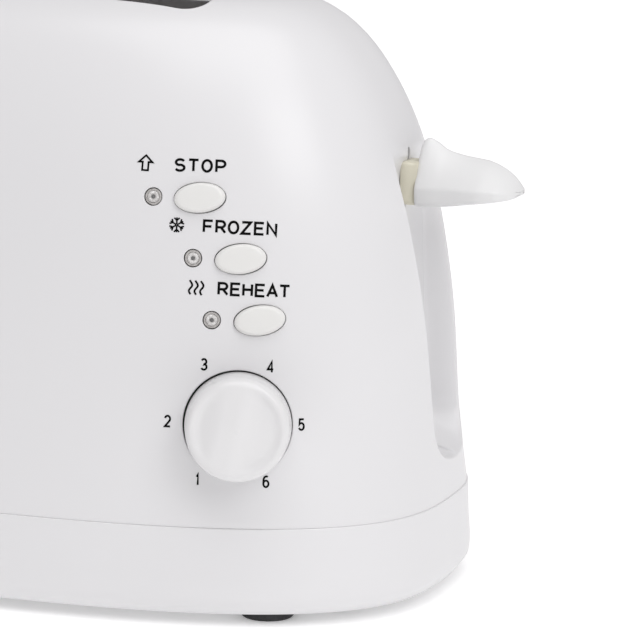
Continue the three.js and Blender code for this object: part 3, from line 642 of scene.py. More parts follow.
def lever_slot_outline(offset):
    """The narrow slot in the recess floor, over Y and Z."""
    half = LEVER_SLOT_HALF + offset
    low, high = LEVER_SLOT_Z[0] + LEVER_SLOT_HALF, LEVER_SLOT_Z[1] - LEVER_SLOT_HALF
    arc = np.linspace(0, math.pi, 9)
    top = np.stack([half * np.cos(arc), high + half * np.sin(arc)], -1)
    bottom = np.stack([-half * np.cos(arc), low - half * np.sin(arc)], -1)
    heights = np.linspace(high, low, 60)[1:-1]
    left = np.stack([np.full_like(heights, -half), heights], -1)
    right = np.stack([np.full_like(heights, half), heights[::-1]], -1)
    return np.concatenate([top, left, bottom, right])


def recess_lines(depth):
    """Lines down the front side of the recess, round its end and up its back, over Y and Z."""
    shares = [-0.5, -0.15, 0, 0.12, 0.24, 0.36, 0.48, 0.6, 0.72, 0.84, 1.0, 1.3]
    if depth:
        shares = [-0.8, 0, 0.5, 1.0]
    heights = np.arange(138.5, CHANNEL_Z, -4.0 if depth else -1.2)
    turn = np.linspace(0, math.pi, 13 if depth else 33)[1:-1]
    power = 2 / RECESS_END_POWER
    lines = []
    for share in shares:
        front_side, back_side = (share * width for width in RECESS_SIDE)
        front = np.stack([front_side - recess_half(FRONT_Y, heights, depth), heights], -1)
        back = np.stack([recess_half(BACK_Y, heights, depth) - back_side, heights], -1)
        low_front = recess_half(FRONT_Y, CHANNEL_Z, depth) - front_side + RECESS_END_Y
        low_back = recess_half(BACK_Y, CHANNEL_Z, depth) - back_side - RECESS_END_Y
        drop = CHANNEL_DROP + depth - share * (RECESS_SIDE[0] + RECESS_SIDE[1]) / 2
        reach = np.where(turn < math.pi / 2, low_front, low_back)
        across = RECESS_END_Y - reach * signed_power(np.cos(turn), power)
        bend = np.stack([across, CHANNEL_Z - drop * np.sin(turn) ** power], -1)
        lines.append(np.concatenate([front, bend, back[::-1]]))
    return lines


def wall_rings(skin, hole, outer_loop, inner_loop):
    """Rounds a hole's edge and closes its wall between the outer and the inner skin."""
    patch, half, count, edge = hole
    out = oval_out(half, count)
    inward = -(out[:, :1] * patch.u + out[:, 1:] * patch.v)
    previous = outer_loop
    for k in range(1, 5):
        turn = k / 4 * math.pi / 2
        u, v = oval(half, edge * (1 - math.sin(turn)), count)
        points = patch.on_wall(u, v) - edge * (1 - math.cos(turn)) * patch.n
        normals = unit(math.cos(turn) * patch.n + math.sin(turn) * inward)
        ring = skin.add(points, normals)
        skin.strip(previous, ring)
        previous = ring
    skin.strip(previous, inner_loop)


def wrap_sides(sheet, heights):
    """Upright lines at the start and the end of the girth, welded together later."""
    left = sheet.line(np.stack([np.zeros_like(heights), heights], -1))
    right = sheet.line(np.stack([np.full_like(heights, GIRTH), heights], -1))
    return left, right


def rings(sheet, rows):
    """Level lines round the whole girth."""
    ring_s = np.arange(RING_STEPS + 1) / RING_STEPS * GIRTH
    return [sheet.line(np.stack([ring_s, np.full_like(ring_s, z)], -1)) for z in rows]


def hole_loops(sheet, depth):
    """Cuts the controls' holes, and gives the points that surround them."""
    loops = []
    near = []
    for patch, half, count, edge in control_holes():
        offsets = (0.0,) if depth else (edge, edge + 0.5, edge + 1.2, edge + 2.2)
        for k, offset in enumerate(offsets):
            u, v = oval(half, offset, count)
            points = patch.on_wall(u, v, depth)
            s = run_of(points[:, 0], points[:, 1], half_sizes(points[:, 2], depth))
            flat = np.stack([s, points[:, 2]], -1)
            if k == 0:
                loops.append(sheet.loop(flat))
            else:
                near.extend(flat.tolist())
    return loops, near


def at_end(outline, depth):
    """An outline over Y and Z on the +X end wall, as girth and height."""
    return np.stack([girth_at_end(outline[:, 0], outline[:, 1], depth), outline[:, 1]], -1)


def side_sheet(depth):
    """The shell's side wall over girth and height, with its holes."""
    sheet = Sheet()
    rows = [SEAM_Z] if depth else [SEAM_Z, SEAM_Z + 0.015, SEAM_Z + 0.035, SEAM_Z + SEAM_ROUND]
    lines = rings(sheet, rows + [JOIN_Z])
    left, right = wrap_sides(sheet, np.linspace(rows[-1], JOIN_Z, 42)[1:-1])
    loops, near = hole_loops(sheet, depth)
    lever_loop = sheet.loop(at_end(lever_slot_outline(0.0 if depth else LEVER_SLOT_EDGE), depth))
    if not depth:
        sheet.line(at_end(lever_slot_outline(0.8), depth), closed=True)
    for line in recess_lines(depth):
        sheet.line(at_end(line, depth))
    spread = grid((0, GIRTH), (rows[-1], JOIN_Z), INNER_STEP if depth else 2.9)
    for candidates, clearance in ((np.array(near), 0.35), (spread, 2.0 if depth else 0.8)):
        if len(candidates):
            points, _ = side_surface(candidates[:, 0], candidates[:, 1], depth)
            sheet.fill(candidates, clearance, in_holes(points))
    seams = {"bottom": lines[0], "top": lines[-1], "left": left, "right": right}
    return sheet, seams, loops, lever_loop


def in_holes(points):
    """Which points of the side wall lie inside a control's hole or the lever slot."""
    inside = np.zeros(len(points), bool)
    for patch, half, _, edge in control_holes():
        away = points - patch.origin
        u = away @ patch.u / (half[0] + edge)
        v = away @ patch.v / (half[1] + edge)
        inside |= (u * u + v * v < 1) & (away @ patch.n > -20)
    on_floor = (np.abs(points[:, 1]) < LEVER_SLOT_HALF + 0.5) & (points[:, 0] > 60)
    return inside | on_floor & (points[:, 2] > LEVER_SLOT_Z[0]) & (points[:, 2] < LEVER_SLOT_Z[1])


def girth_at_end(y, z, depth):
    """How far round the section a point of the +X end lies, from its Y."""
    n = signed_power(y / half_sizes(z, depth)[1], POWER / 2)
    angle = np.arcsin(np.clip(n, -1, 1)) + TAU
    return np.interp(angle, ANGLES, RUNS)


def crown_sheet(depth):
    """The crown over X and Y, with the bread slots."""
    sheet = Sheet()
    ring_s = np.arange(RING_STEPS) / RING_STEPS * GIRTH
    x, y = around(ring_s, half_sizes(np.full_like(ring_s, JOIN_Z), depth))
    rim = sheet.line(np.stack([x, y], -1), closed=True)
    for z in () if depth else CROWN_ROWS:
        row = zip(*around(ring_s[::2], half_sizes(z)))
        sheet.dots(p for p in row if not near_slot(*p, 3.2))
    loops = []
    for sign in (-1, 1):
        outline, _ = slot_outline(0.0 if depth else SLOT_LIP)
        loops.append(sheet.loop(outline + (0, sign * SLOT_Y)))
        if not depth:
            outline, _ = slot_outline(SLOT_LIP + 1.2)
            sheet.dots(p for p in outline + (0, sign * SLOT_Y) if abs(p[1]) > 1.3)
    a, b = half_sizes(JOIN_Z, depth)
    candidates = grid((-a, a), (-b, b), INNER_STEP if depth else STEP)
    u = np.abs(candidates[:, 0] / (a - 1)) ** POWER + np.abs(candidates[:, 1] / (b - 1)) ** POWER
    margin = 0.5 if depth else SLOT_LIP + 0.3
    blocked = [value > 1 or near_slot(*p, margin) for value, p in zip(u, candidates)]
    sheet.fill(candidates, 2.0 if depth else 1.2, blocked)
    return sheet, rim, loops


def near_slot(x, y, margin):
    """Whether a place over the crown lies inside a bread slot grown by a margin."""
    dx = max(SLOT_X[0] + SLOT_CORNER - x, x - SLOT_X[1] + SLOT_CORNER, 0)
    dy = max(abs(abs(y) - SLOT_Y) - (SLOT_HALF_WIDTH - SLOT_CORNER), 0)
    return math.hypot(dx, dy) < SLOT_CORNER + margin


def add_skin(skin, depth):
    """Adds the outer or the inner skin of the shell and says where its edges are."""
    facing = -1 if depth else 1
    side, seams, loops, lever_loop = side_sheet(depth)
    points, normals = side_surface(*np.array(side.flat).T, depth)
    index = skin.lay(side, points, facing * normals)
    crown_part, rim, slots = crown_sheet(depth)
    points, normals = crown_surface(*np.array(crown_part.flat).T, depth)
    points[rim, 2] = JOIN_Z
    upper = skin.lay(crown_part, points, facing * normals)
    welds = {index[r]: index[t] for t, r in zip(seams["left"], seams["right"])}
    for row in (seams["bottom"], seams["top"]):
        welds[index[row[-1]]] = index[row[0]]
    for k, i in enumerate(rim):
        welds[upper[i]] = index[seams["top"][k]]
    return {
        "welds": welds, "bottom": [index[i] for i in seams["bottom"][:-1]],
        "holes": [[index[i] for i in loop] for loop in loops],
        "lever": [index[i] for i in lever_loop],
        "slots": [[upper[i] for i in loop] for loop in slots]}


def slot_lip(skin, middle_y, outer_loop, inner_loop):
    """Rounds a bread slot's edge and closes its wall down to the inner skin."""
    wide, _ = slot_outline(SLOT_LIP)
    above, tilt = crown_surface(wide[:, 0], wide[:, 1] + middle_y)
    previous = outer_loop
    for k in range(1, 7):
        turn = k / 6 * math.pi / 2
        outline, outward = slot_outline(SLOT_LIP * (1 - math.sin(turn)))
        height = above[:, 2] - SLOT_LIP * (1 - math.cos(turn))
        inward = np.concatenate([-outward, np.zeros((len(outward), 1))], -1)
        ring = skin.add(
            np.stack([outline[:, 0], outline[:, 1] + middle_y, height], -1),
            unit(math.cos(turn) * tilt + math.sin(turn) * inward))
        skin.strip(previous, ring)
        previous = ring
    skin.strip(previous, inner_loop)


def lever_slot_edge(skin, outer_loop, inner_loop):
    """Eases the lever slot's edge and closes its wall."""
    y, z = lever_slot_outline(0.0).T
    x = end_wall_x(y, z) - LEVER_SLOT_EDGE
    toward = np.stack([np.zeros_like(y), -np.sign(y), np.zeros_like(y)], -1)
    ring = skin.add(np.stack([x, y, z], -1), toward)
    skin.strip(outer_loop, ring)
    skin.strip(ring, inner_loop)


def shell_mesh():
    """The housing: outer and inner skin, joined at the holes, the slots and the lower edge."""
    skin = Skin()
    outer = add_skin(skin, 0.0)
    inner = add_skin(skin, WALL)
    for hole, out_loop, in_loop in zip(control_holes(), outer["holes"], inner["holes"]):
        wall_rings(skin, hole, out_loop, in_loop)
    for sign, out_loop, in_loop in zip((-1, 1), outer["slots"], inner["slots"]):
        slot_lip(skin, sign * SLOT_Y, out_loop, in_loop)
    lever_slot_edge(skin, outer["lever"], inner["lever"])
    skin.strip(outer["bottom"], inner["bottom"])
    skin.weld({**outer["welds"], **inner["welds"]})
    return skin.mesh("shell_body")


# ---- Base -----------------------------------------------------------------------------------


def tray_outline():
    """The opening for the crumb tray in the back of the skirt, over X and Z."""
    x_range, z_range = ((low - TRAY_GAP, high + TRAY_GAP) for low, high in (TRAY_X, TRAY_Z))
    return rounded_rectangle(x_range, z_range, TRAY_CORNER, 0, (5, 60, 4))[0]


def circle(cx, cy, radius, count):
    """Points of a circle."""
    t = np.arange(count) / count * TAU
    return np.stack([cx + radius * np.cos(t), cy + radius * np.sin(t)], -1)


def back_girth(outline, depth):
    """An outline over X and Z in the back of the base, as girth from the middle of the front."""
    x, z = outline.T
    c = signed_power(x / base_sizes(z, depth)[0], POWER / 2)
    angle = np.arccos(np.clip(c, -1, 1))
    run = np.interp(np.where(angle < math.pi / 2, angle + TAU, angle), ANGLES, RUNS)
    return np.stack([np.mod(run + GIRTH / 2, GIRTH), z], -1)


def in_base_holes(points):
    """Which points of the skirt lie inside the tray's opening or the gland's hole."""
    in_tray = (points[:, 0] > TRAY_X[0]) & (points[:, 0] < TRAY_X[1])
    in_tray &= (points[:, 2] > TRAY_Z[0] - 0.5) & (points[:, 2] < TRAY_Z[1] + 0.5)
    in_gland = np.hypot(points[:, 0] - GLAND[0], points[:, 2] - GLAND[1]) < GLAND_HOLE + 0.5
    return (in_tray | in_gland) & (points[:, 1] > 0)


def base_skin(skin, depth):
    """Adds the outer or the inner skin of the skirt and says where its edges are.

    The inner skin has one ring, at its top: the floor brings the wall that runs down from it.
    """
    sheet = Sheet()
    low = BASE_BOTTOM + BASE_FLOOR if depth else BASE_BOTTOM
    rows = [BASE_TOP]
    if not depth:
        rows = [3.0, 3.12, 3.5, 4.1, BASE_TOP - 0.9]
        rows.extend(BASE_TOP - LEDGE_ROUND * share for share in (1, 0.75, 0.5, 0.3, 0.15, 0.05, 0))
    lines = rings(sheet, rows)
    heights = np.array([4.9, 5.8, 7, 8.5, 10, 12, 14, 16, 19, 22, 25])[2 if depth else 0:]
    left, right = wrap_sides(sheet, heights)
    tray_loop = sheet.loop(back_girth(tray_outline(), depth))
    gland_loop = sheet.loop(back_girth(circle(*GLAND, GLAND_HOLE, 32), depth))
    candidates = grid((0, GIRTH), (low + 1.2, BASE_TOP - 1.2), STEP)
    points, _ = base_surface(candidates[:, 0] + GIRTH / 2, candidates[:, 1], depth)
    sheet.fill(candidates, 1.0, in_base_holes(points))
    flat = np.array(sheet.flat)
    points, normals = base_surface(flat[:, 0] + GIRTH / 2, flat[:, 1], depth)
    index = skin.lay(sheet, points, -normals if depth else normals)
    welds = {index[r]: index[t] for t, r in zip(left, right)}
    for row in lines:
        welds[index[row[-1]]] = index[row[0]]
    skin.weld(welds)
    return {
        "bottom": [index[i] for i in lines[0][:-1]], "top": [index[i] for i in lines[-1][:-1]],
        "tray": [index[i] for i in tray_loop], "gland": [index[i] for i in gland_loop]}


def stadium(cx, cy, half_length, half_width):
    """Points of a slot with round ends."""
    bow = np.linspace(-math.pi / 2, math.pi / 2, 7)
    reach = half_length - half_width
    right = np.stack([cx + reach + half_width * np.cos(bow), cy + half_width * np.sin(bow)], -1)
    left = np.stack([cx - reach - half_width * np.cos(bow), cy - half_width * np.sin(bow)], -1)
    return np.concatenate([right, left])


def floor_openings():
    """Outlines of the air slots and screw wells in the floor of the base."""
    outlines = []
    for x in (100, -104):
        outlines.extend(stadium(x, i * 9, 9, 1.5) for i in range(-2, 3))
    for sx in (-1, 1):
        outlines.extend(circle(sx * SCREW_X, sy * SCREW_Y, 3.6, 24) for sy in (-1, 1))
    return outlines


def base_floor(skin, rim, z, up):
    """A level floor inside a rim, with its openings and a wall up or down to the rim."""
    sheet = Sheet()
    rim_points = np.array([skin.points[i] for i in rim])
    edge = sheet.line(rim_points[:, :2], closed=True)
    loops = [sheet.loop(outline) for outline in floor_openings()]
    flat = np.array(sheet.flat)
    points = np.concatenate([flat, np.full((len(flat), 1), z)], -1)
    index = skin.lay(sheet, points, np.tile((0, 0, 1.0 if up else -1.0), (len(flat), 1)))
    skin.strip([index[i] for i in edge], rim)
    return [[index[i] for i in loop] for loop in loops]


def join_loops(skin, loop_a, loop_b):
    """A wall between two matching loops, with its own vertices so that its edges stay crisp."""
    a = [skin.points[i] for i in loop_a]
    b = [skin.points[i] for i in loop_b]
    centre = np.mean(a, 0)
    toward = unit(centre - np.array(a))
    ring_a = skin.add(a, toward)
    ring_b = skin.add(b, toward)
    skin.strip(ring_a, ring_b)


def base_mesh():
    """The tub below the seam: skirt, floor and the walls of their openings."""
    skin = Skin()
    outer = base_skin(skin, 0.0)
    inner = base_skin(skin, BASE_WALL)
    low = base_floor(skin, outer["bottom"], BASE_BOTTOM, up=False)
    high = base_floor(skin, inner["bottom"], BASE_BOTTOM + BASE_FLOOR, up=True)
    for a, b in zip(low, high):
        join_loops(skin, a, b)
    join_loops(skin, outer["tray"], inner["tray"])
    join_loops(skin, outer["gland"], inner["gland"])
    tops = [np.array([skin.points[i] for i in ring]) for ring in (outer["top"], inner["top"])]
    up = np.tile((0, 0, 1.0), (len(outer["top"]), 1))
    skin.strip(skin.add(tops[0], up), skin.add(tops[1], up))
    return skin.mesh("base_tub")


# ---- Lever handle ---------------------------------------------------------------------------

# Stations along the handle: X, half width, underside, side edge and crown heights.
HANDLE = np.array([
    (121.4, 6.0, 116.6, 121.0, 127.6),
    (124.35, 6.5, 116.4, 121.4, 128.2),
    (124.75, 7.4, 116.4, 121.6, 134.2),
    (127.1, 8.0, 116.4, 121.8, 136.2),
    (130.0, 8.5, 116.5, 122.0, 135.0),
    (132.8, 9.0, 116.8, 122.2, 133.1),
    (136.5, 10.0, 117.3, 122.3, 132.0),
    (140.5, 11.2, 118.0, 122.4, 131.3),
    (145.5, 12.2, 118.8, 122.5, 130.6),
    (149.5, 11.6, 119.4, 122.5, 129.1),
    (152.6, 9.6, 119.9, 122.2, 127.0),
    (154.6, 6.6, 120.4, 121.9, 124.6),
    (155.4, 3.0, 121.0, 121.8, 123.0),
])


def lever_mesh():
    """Handle lofted through its stations: flat below, a creased side and a roof-like back."""
    start, end = 124.45, 155.38
    stations = np.concatenate([
        np.linspace(start, 127.1, 14), np.linspace(127.5, 150, 64), np.linspace(150.3, end, 30)])
    half, under, edge, top = (smooth_line(stations, HANDLE[:, 0], HANDLE[:, k]) for k in range(1, 5))
    share = np.clip((stations - start) / 1.3, 0, 1)
    swell = np.sqrt(np.clip(1 - (1 - share) ** 2, 0.0, 1)) * 0.05 + 0.95
    sections = []
    for x, h, u, e, t, r in zip(stations, half, under, edge, top, swell):
        sections.append(handle_ring(x, h * r, e - (e - u) * r, e, e + (t - e) * r))
    count = len(sections[0])
    points = np.concatenate(sections + [sections[0].mean(0)[None], sections[-1].mean(0)[None]])
    faces = loft_faces(count, len(sections))
    first, last = len(points) - 2, len(points) - 1
    end_ring = (len(sections) - 1) * count
    for i in range(count):
        k = (i + 1) % count
        faces.append((first, k, i))
        faces.append((last, end_ring + i, end_ring + k))
    return make_mesh("lever_handle", points, faces)


def loft_faces(count, sections):
    """Quads between consecutive rings of the same number of points."""
    faces = []
    for a in range(0, (sections - 1) * count, count):
        for i in range(count):
            k = (i + 1) % count
            faces.append((a + i, a + k, a + count + k, a + count + i))
    return faces


def end_face(count, sections):
    """The last ring as one face."""
    return tuple(range((sections - 1) * count, sections * count))


def closed_loft(name, sections):
    """A body through rings of points, with flat ends."""
    count = len(sections[0])
    faces = loft_faces(count, len(sections))
    faces.append(tuple(range(count))[::-1])
    faces.append(end_face(count, len(sections)))
    return make_mesh(name, np.concatenate(sections), faces)


def cap_mesh(name, sections, middle):
    """A knob's skin: rings from the middle of its face outwards and down, closed behind."""
    count = len(sections[0])
    points = np.concatenate(sections + [middle[None]])
    faces = [(a, d, c, b) for a, b, c, d in loft_faces(count, len(sections))]
    centre = len(points) - 1
    faces.extend((centre, i, (i + 1) % count) for i in range(count))
    faces.append(end_face(count, len(sections))[::-1])
    return make_mesh(name, points, faces)


def round_corner(before, corner, after, radius, steps=6):
    """Points of a rounded corner between two straight sides."""
    before, corner, after = (np.array(p, float) for p in (before, corner, after))
    to_before, to_after = unit(before - corner), unit(after - corner)
    start, end = corner + radius * to_before, corner + radius * to_after
    t = np.linspace(0, 1, steps)[:, None]
    return (1 - t) ** 2 * start + 2 * t * (1 - t) * corner + t * t * end


def handle_ring(x, half, under, edge, top):
    """One section of the handle, from the middle of its underside round by -Y to the top and back."""
    side = min(1.7, 0.3 * half, 0.45 * (edge - under))
    sill = (-half * 0.93, under)
    crease = (-half, edge)
    s = np.linspace(0.12, 1.0, 16)
    rise = 0.45 * s + 0.55 * np.sin(s * math.pi / 2)
    roof = np.stack([-half * (1 - s), edge + (top - edge) * rise], -1)
    corner = round_corner(sill, crease, roof[0], min(0.8, 0.2 * half))
    foot = round_corner((0, under), sill, crease, side)
    near = np.concatenate([[(0, under), (-half * 0.45, under)], foot, corner, roof])
    far = near[-2:0:-1] * (-1, 1)
    outline = np.concatenate([near, far])
    return np.concatenate([np.full((len(outline), 1), x), outline], -1)


def neck_mesh():
    """The block that joins the handle to the carriage's arm."""
    half_y, half_z, middle_z = 6.1, 6.4, 122.9
    squareness = 0.18
    count = 64
    t = (np.arange(count) + 0.5) / count * TAU
    sections = []
    for x, scale in ((119.95, 0.97), (120.05, 0.99), (120.3, 1.0), (125.0, 1.0)):
        y = half_y * scale * signed_power(np.cos(t), squareness)
        z = middle_z + half_z * scale * signed_power(np.sin(t), squareness)
        sections.append(np.stack([np.full(count, x), y, z], -1))
    return closed_loft("lever_neck", sections)


# ---- Dial, keys and lamps -------------------------------------------------------------------


def dial_height(radius, x, y):
    """Front face of the dial: a shallow dome with a soft, slightly slanting ridge down it."""
    share = np.clip(radius / DIAL_RADIUS, 0, 1)
    dome = DIAL_PROUD - 1.4 * share**2
    near = np.clip((radius - (DIAL_RADIUS - DIAL_LIP - DIAL_EDGE)) / DIAL_EDGE, 0, 1)
    dome = dome - DIAL_EDGE * (1 - np.sqrt(np.maximum(1 - near**2, 0)))
    across = x - RIDGE_X - RIDGE_SLANT * y
    hollow = smooth((np.abs(across) - RIDGE_HALF) / 9.0) * smooth((DIAL_RADIUS - 0.8 - radius) / 5.0)
    return dome - RIDGE_HEIGHT * hollow


def dial_mesh():
    """The dial's skin: its face from the middle out, then its side down to the back."""
    patch = Patch(*DIAL, dial_direction())
    turn = np.arange(128) / 128 * TAU

    def ring(radius, height=None):
        x, y = radius * np.cos(turn), radius * np.sin(turn)
        w = dial_height(radius, x, y) if height is None else height
        return patch.place(x + DIAL_SHIFT, y - DIAL_SHIFT, w)

    radii = np.concatenate([np.linspace(0.6, 11, 20), np.linspace(11.4, DIAL_RADIUS - DIAL_LIP, 14)])
    side = ((0.45, 9.0), (0.2, 4.0), (0.0, 0.0), (0.0, -4.4), (0.2, -4.6), (2.2, -4.6))
    sections = [ring(radius) for radius in radii]
    sections.extend(ring(DIAL_RADIUS - narrower, height) for narrower, height in side)
    return cap_mesh("dial_cap", sections, patch.place(DIAL_SHIFT, -DIAL_SHIFT, DIAL_PROUD))


def button_mesh(name):
    """An oval key with a softly domed top and a rounded edge."""
    patch = Patch(*BUTTONS[name], turn=BUTTON_TURN[name] + BUTTON_SKEW)
    t = np.arange(96) / 96 * TAU

    def ring(share, height):
        return patch.place(BUTTON_HALF[0] * share * np.cos(t), BUTTON_HALF[1] * share * np.sin(t), height)

    sections = []
    for share in np.concatenate([np.linspace(0.06, 0.8, 12), np.linspace(0.83, 1.0, 12)]):
        edge = np.clip((share - 0.78) / 0.22, 0, 1)
        fall = BUTTON_EDGE * (1 - math.sqrt(1 - edge**2 * 0.9999))
        sections.append(ring(share, BUTTON_PROUD - BUTTON_DOME * share**2 - fall))
    sections.extend(ring(1.0, height) for height in (-1.0, -3.8))
    return cap_mesh(f"{name}_key", sections, patch.place(0.0, 0.0, BUTTON_PROUD))


def turned_mesh(name, patch, profile, count):
    """A body turned about a patch's n axis, from radius and height pairs, closed at both ends."""
    t = np.arange(count) / count * TAU
    return closed_loft(name, [patch.place(r * np.cos(t), r * np.sin(t), h) for r, h in profile])


def led_profiles():
    """The lens, and through it a grey rim, the pale bowl and the dark die in the middle."""
    radius = LED_RADIUS - 0.05
    lens = [(radius, -6.9), (radius, -0.7)]
    for k in range(1, 12):
        t = k / 12 * math.pi / 2
        lens.append((radius * math.cos(t), -0.7 + 1.9 * math.sin(t)))
    lens.append((0.05, 1.2))
    rim = [(2.4, -3.0), (2.4, -0.6), (2.2, -0.3), (1.85, -0.3), (1.7, -0.6), (1.65, -3.0)]
    bowl = [(1.65, -3.0), (1.65, -0.2), (1.3, 0.3), (0.9, 0.2), (0.6, -0.3), (0.02, -0.4)]
    die = [(0.5, -3.0), (0.55, -0.2), (0.42, 0.05), (0.05, 0.1)]
    return lens, rim, bowl, die


# ---- Print on the front wall ----------------------------------------------------------------

# Words by X, height, pitch of the letters and lean in degrees; signs by X, height, lean and stroke.
LABELS = {
    "STOP": (76.35, 131.3, 3.86, -0.4),
    "FROZEN": (88.6, 114.35, 3.62, -1.6),
    "REHEAT": (93.4, 96.9, 3.5, -1.8)}
LETTER_WIDTH = 3.4
LETTER_HEIGHT = 3.9
LETTER_WEIGHT = 0.7
SIGNS = {
    "arrow": (60.95, 131.45, -1.0, 0.54),
    "snow": (71.3, 114.65, 0.0, 0.44),
    "waves": (77.8, 97.25, -3.0, 0.54)}
NUMBERS = {
    "1": (80.6, 42.7), "2": (71.4, 59.0), "3": (81.0, 75.6),
    "4": (98.8, 75.2), "5": (107.4, 58.7), "6": (99.1, 42.5)}
NUMBER_WIDTH = 2.15
ONE_SHARE = 0.62          # of that width, for the 1
NUMBER_HEIGHT = 3.6
NUMBER_WEIGHT = 0.56
INK_LIFT = 0.04
INK_HALF = 0.03           # half the ink's thickness


def print_faces(name, mesh, patch):
    """Lays a flat mesh, in millimetres over u and v, on the front wall as ink."""
    points = np.array([vertex.co[:] for vertex in mesh.vertices])
    on_wall = patch.on_wall(points[:, 0], points[:, 1])
    on_wall = on_wall + (INK_LIFT + points[:, 2])[:, None] * patch.n
    for vertex, place in zip(mesh.vertices, (on_wall + (BODY_X, 0, 0)) * MM):
        vertex.co = place
    mesh.name = name
    mesh.update()
    add_piece(name, mesh, "root", INK)


def arc(cx, cy, rx, ry, start, end, steps=14):
    """Points of an elliptic arc, angles in degrees."""
    turns = [math.radians(start + (end - start) * i / steps) for i in range(steps + 1)]
    return [(cx + rx * math.cos(t), cy + ry * math.sin(t)) for t in turns]


# Centre lines of the letters and numbers, in a box one wide and one high.
GLYPHS = {
    "S": [arc(0.5, 0.745, 0.44, 0.255, 25, 250) + arc(0.5, 0.26, 0.47, 0.26, 80, -155)],
    "T": [[(0, 1), (1, 1)], [(0.5, 1), (0.5, 0)]],
    "O": [arc(0.5, 0.5, 0.48, 0.5, 0, 360, 28)],
    "P": [[(0.06, 0), (0.06, 1)] + arc(0.56, 0.72, 0.4, 0.28, 90, -90) + [(0.06, 0.44)]],
    "F": [[(0.98, 1), (0.08, 1), (0.08, 0)], [(0.08, 0.5), (0.86, 0.5)]],
    "R": [
        [(0.06, 0), (0.06, 1)] + arc(0.54, 0.73, 0.38, 0.27, 90, -90) + [(0.06, 0.46)],
        [(0.52, 0.46), (0.98, 0)]],
    "Z": [[(0.04, 1), (0.95, 1), (0.03, 0), (0.98, 0)]],
    "E": [[(0.98, 1), (0.08, 1), (0.08, 0), (0.98, 0)], [(0.08, 0.52), (0.88, 0.52)]],
    "N": [[(0.06, 0), (0.06, 1), (0.94, 0), (0.94, 1)]],
    "H": [[(0.06, 0), (0.06, 1)], [(0.94, 0), (0.94, 1)], [(0.06, 0.52), (0.94, 0.52)]],
    "A": [[(0, 0), (0.5, 1), (1, 0)], [(0.18, 0.32), (0.82, 0.32)]],
    "1": [[(0.12, 0.76), (0.6, 1), (0.6, 0)]],
    "2": [arc(0.5, 0.7, 0.46, 0.3, 165, -25) + [(0.05, 0), (0.98, 0)]],
    "3": [arc(0.46, 0.75, 0.42, 0.25, 155, -80) + arc(0.46, 0.26, 0.48, 0.26, 80, -155)],
    "4": [[(0.74, 0), (0.74, 1), (0.02, 0.28), (1, 0.28)]],
    "5": [[(0.92, 1), (0.2, 1), (0.12, 0.52)] + arc(0.48, 0.32, 0.46, 0.32, 130, -155)],
    "6": [arc(0.56, 0.62, 0.5, 0.38, 60, 170) + arc(0.5, 0.3, 0.46, 0.3, 185, 545, 24)],
}


def glyph_mesh(letter, width, height, weight, shift=0.0):
    """A plain bold letter, in millimetres, centred on the origin or shifted along u."""
    wide, high = width - weight, height - weight
    strokes = []
    for line in GLYPHS[letter]:
        strokes.append([((x - 0.5) * wide + shift, (y - 0.5) * high) for x, y in line])
    return stroke_mesh(strokes, weight)


def sign_strokes(name):
    """Centre lines of the small signs beside the words."""
    if name == "arrow":
        head, shoulder, shaft, top, foot = 1.95, 0.35, 0.85, 2.25, -2.0
        right = [(0, top), (head, shoulder), (shaft, shoulder), (shaft, foot)]
        return [right + [(-x, y) for x, y in right[:0:-1]] + [right[0]]]
    if name == "snow":
        strokes = []
        for k in range(6):
            turn = math.radians(60 * k + 30)
            c, n = math.cos(turn), math.sin(turn)
            strokes.append([(0.1 * c, 0.1 * n), (2.1 * c, 2.1 * n)])
            for side in (-1, 1):
                tip = (2.0, side * 0.75)
                start = (1.25, 0.0)
                strokes.append([(px * c - py * n, px * n + py * c) for px, py in (start, tip)])
        return strokes
    heights = [(-2.0 + 4.0 * i / 24) for i in range(25)]
    return [[(x + 0.42 * math.sin(1.9 * h + 0.4), h) for h in heights] for x in (-1.6, 0.0, 1.6)]


def line_sides(line, width, closed):
    """Offsets from a polyline's points to the edge of its ribbon."""
    before = np.roll(line, 1, 0)
    after = np.roll(line, -1, 0)
    if not closed:
        before[0] = line[0]
        after[-1] = line[-1]
    along_a = unit(line - before)
    along_b = unit(after - line)
    if not closed:
        along_a[0] = along_b[0]
        along_b[-1] = along_a[-1]
    across_a = np.stack([-along_a[:, 1], along_a[:, 0]], -1)
    across_b = np.stack([-along_b[:, 1], along_b[:, 0]], -1)
    mitre = unit(across_a + across_b)
    reach = width / 2 / np.maximum((mitre * across_a).sum(-1, keepdims=True), 0.4)
    return mitre * reach


def stroke_mesh(strokes, width):
    """Flat ribbons along polylines, in millimetres."""
    points = []
    faces = []
    for line in strokes:
        line = np.array(line, float)
        closed = np.allclose(line[0], line[-1])
        if closed:
            line = line[:-1]
        count = len(line)
        offset = line_sides(line, width, closed)
        start = len(points)
        for side in (-1, 1):
            for z in (-INK_HALF, INK_HALF):
                level = np.full((count, 1), z)
                points.extend(np.concatenate([line + side * offset, level], -1).tolist())
        low_a, high_a, low_b, high_b = (start + k * count for k in range(4))
        for i in range(count if closed else count - 1):
            j = (i + 1) % count
            faces.append((high_a + i, high_a + j, high_b + j, high_b + i))
            faces.append((low_a + j, low_a + i, low_b + i, low_b + j))
            faces.append((low_a + i, low_a + j, high_a + j, high_a + i))
            faces.append((low_b + j, low_b + i, high_b + i, high_b + j))
        if not closed:
            faces.append((low_a, high_a, high_b, low_b))
            end = count - 1
            faces.append((low_a + end, low_b + end, high_b + end, high_a + end))
    mesh = bpy.data.meshes.new("strokes")
    mesh.from_pydata(points, [], faces)
    return mesh


# ---- Materials ------------------------------------------------------------------------------


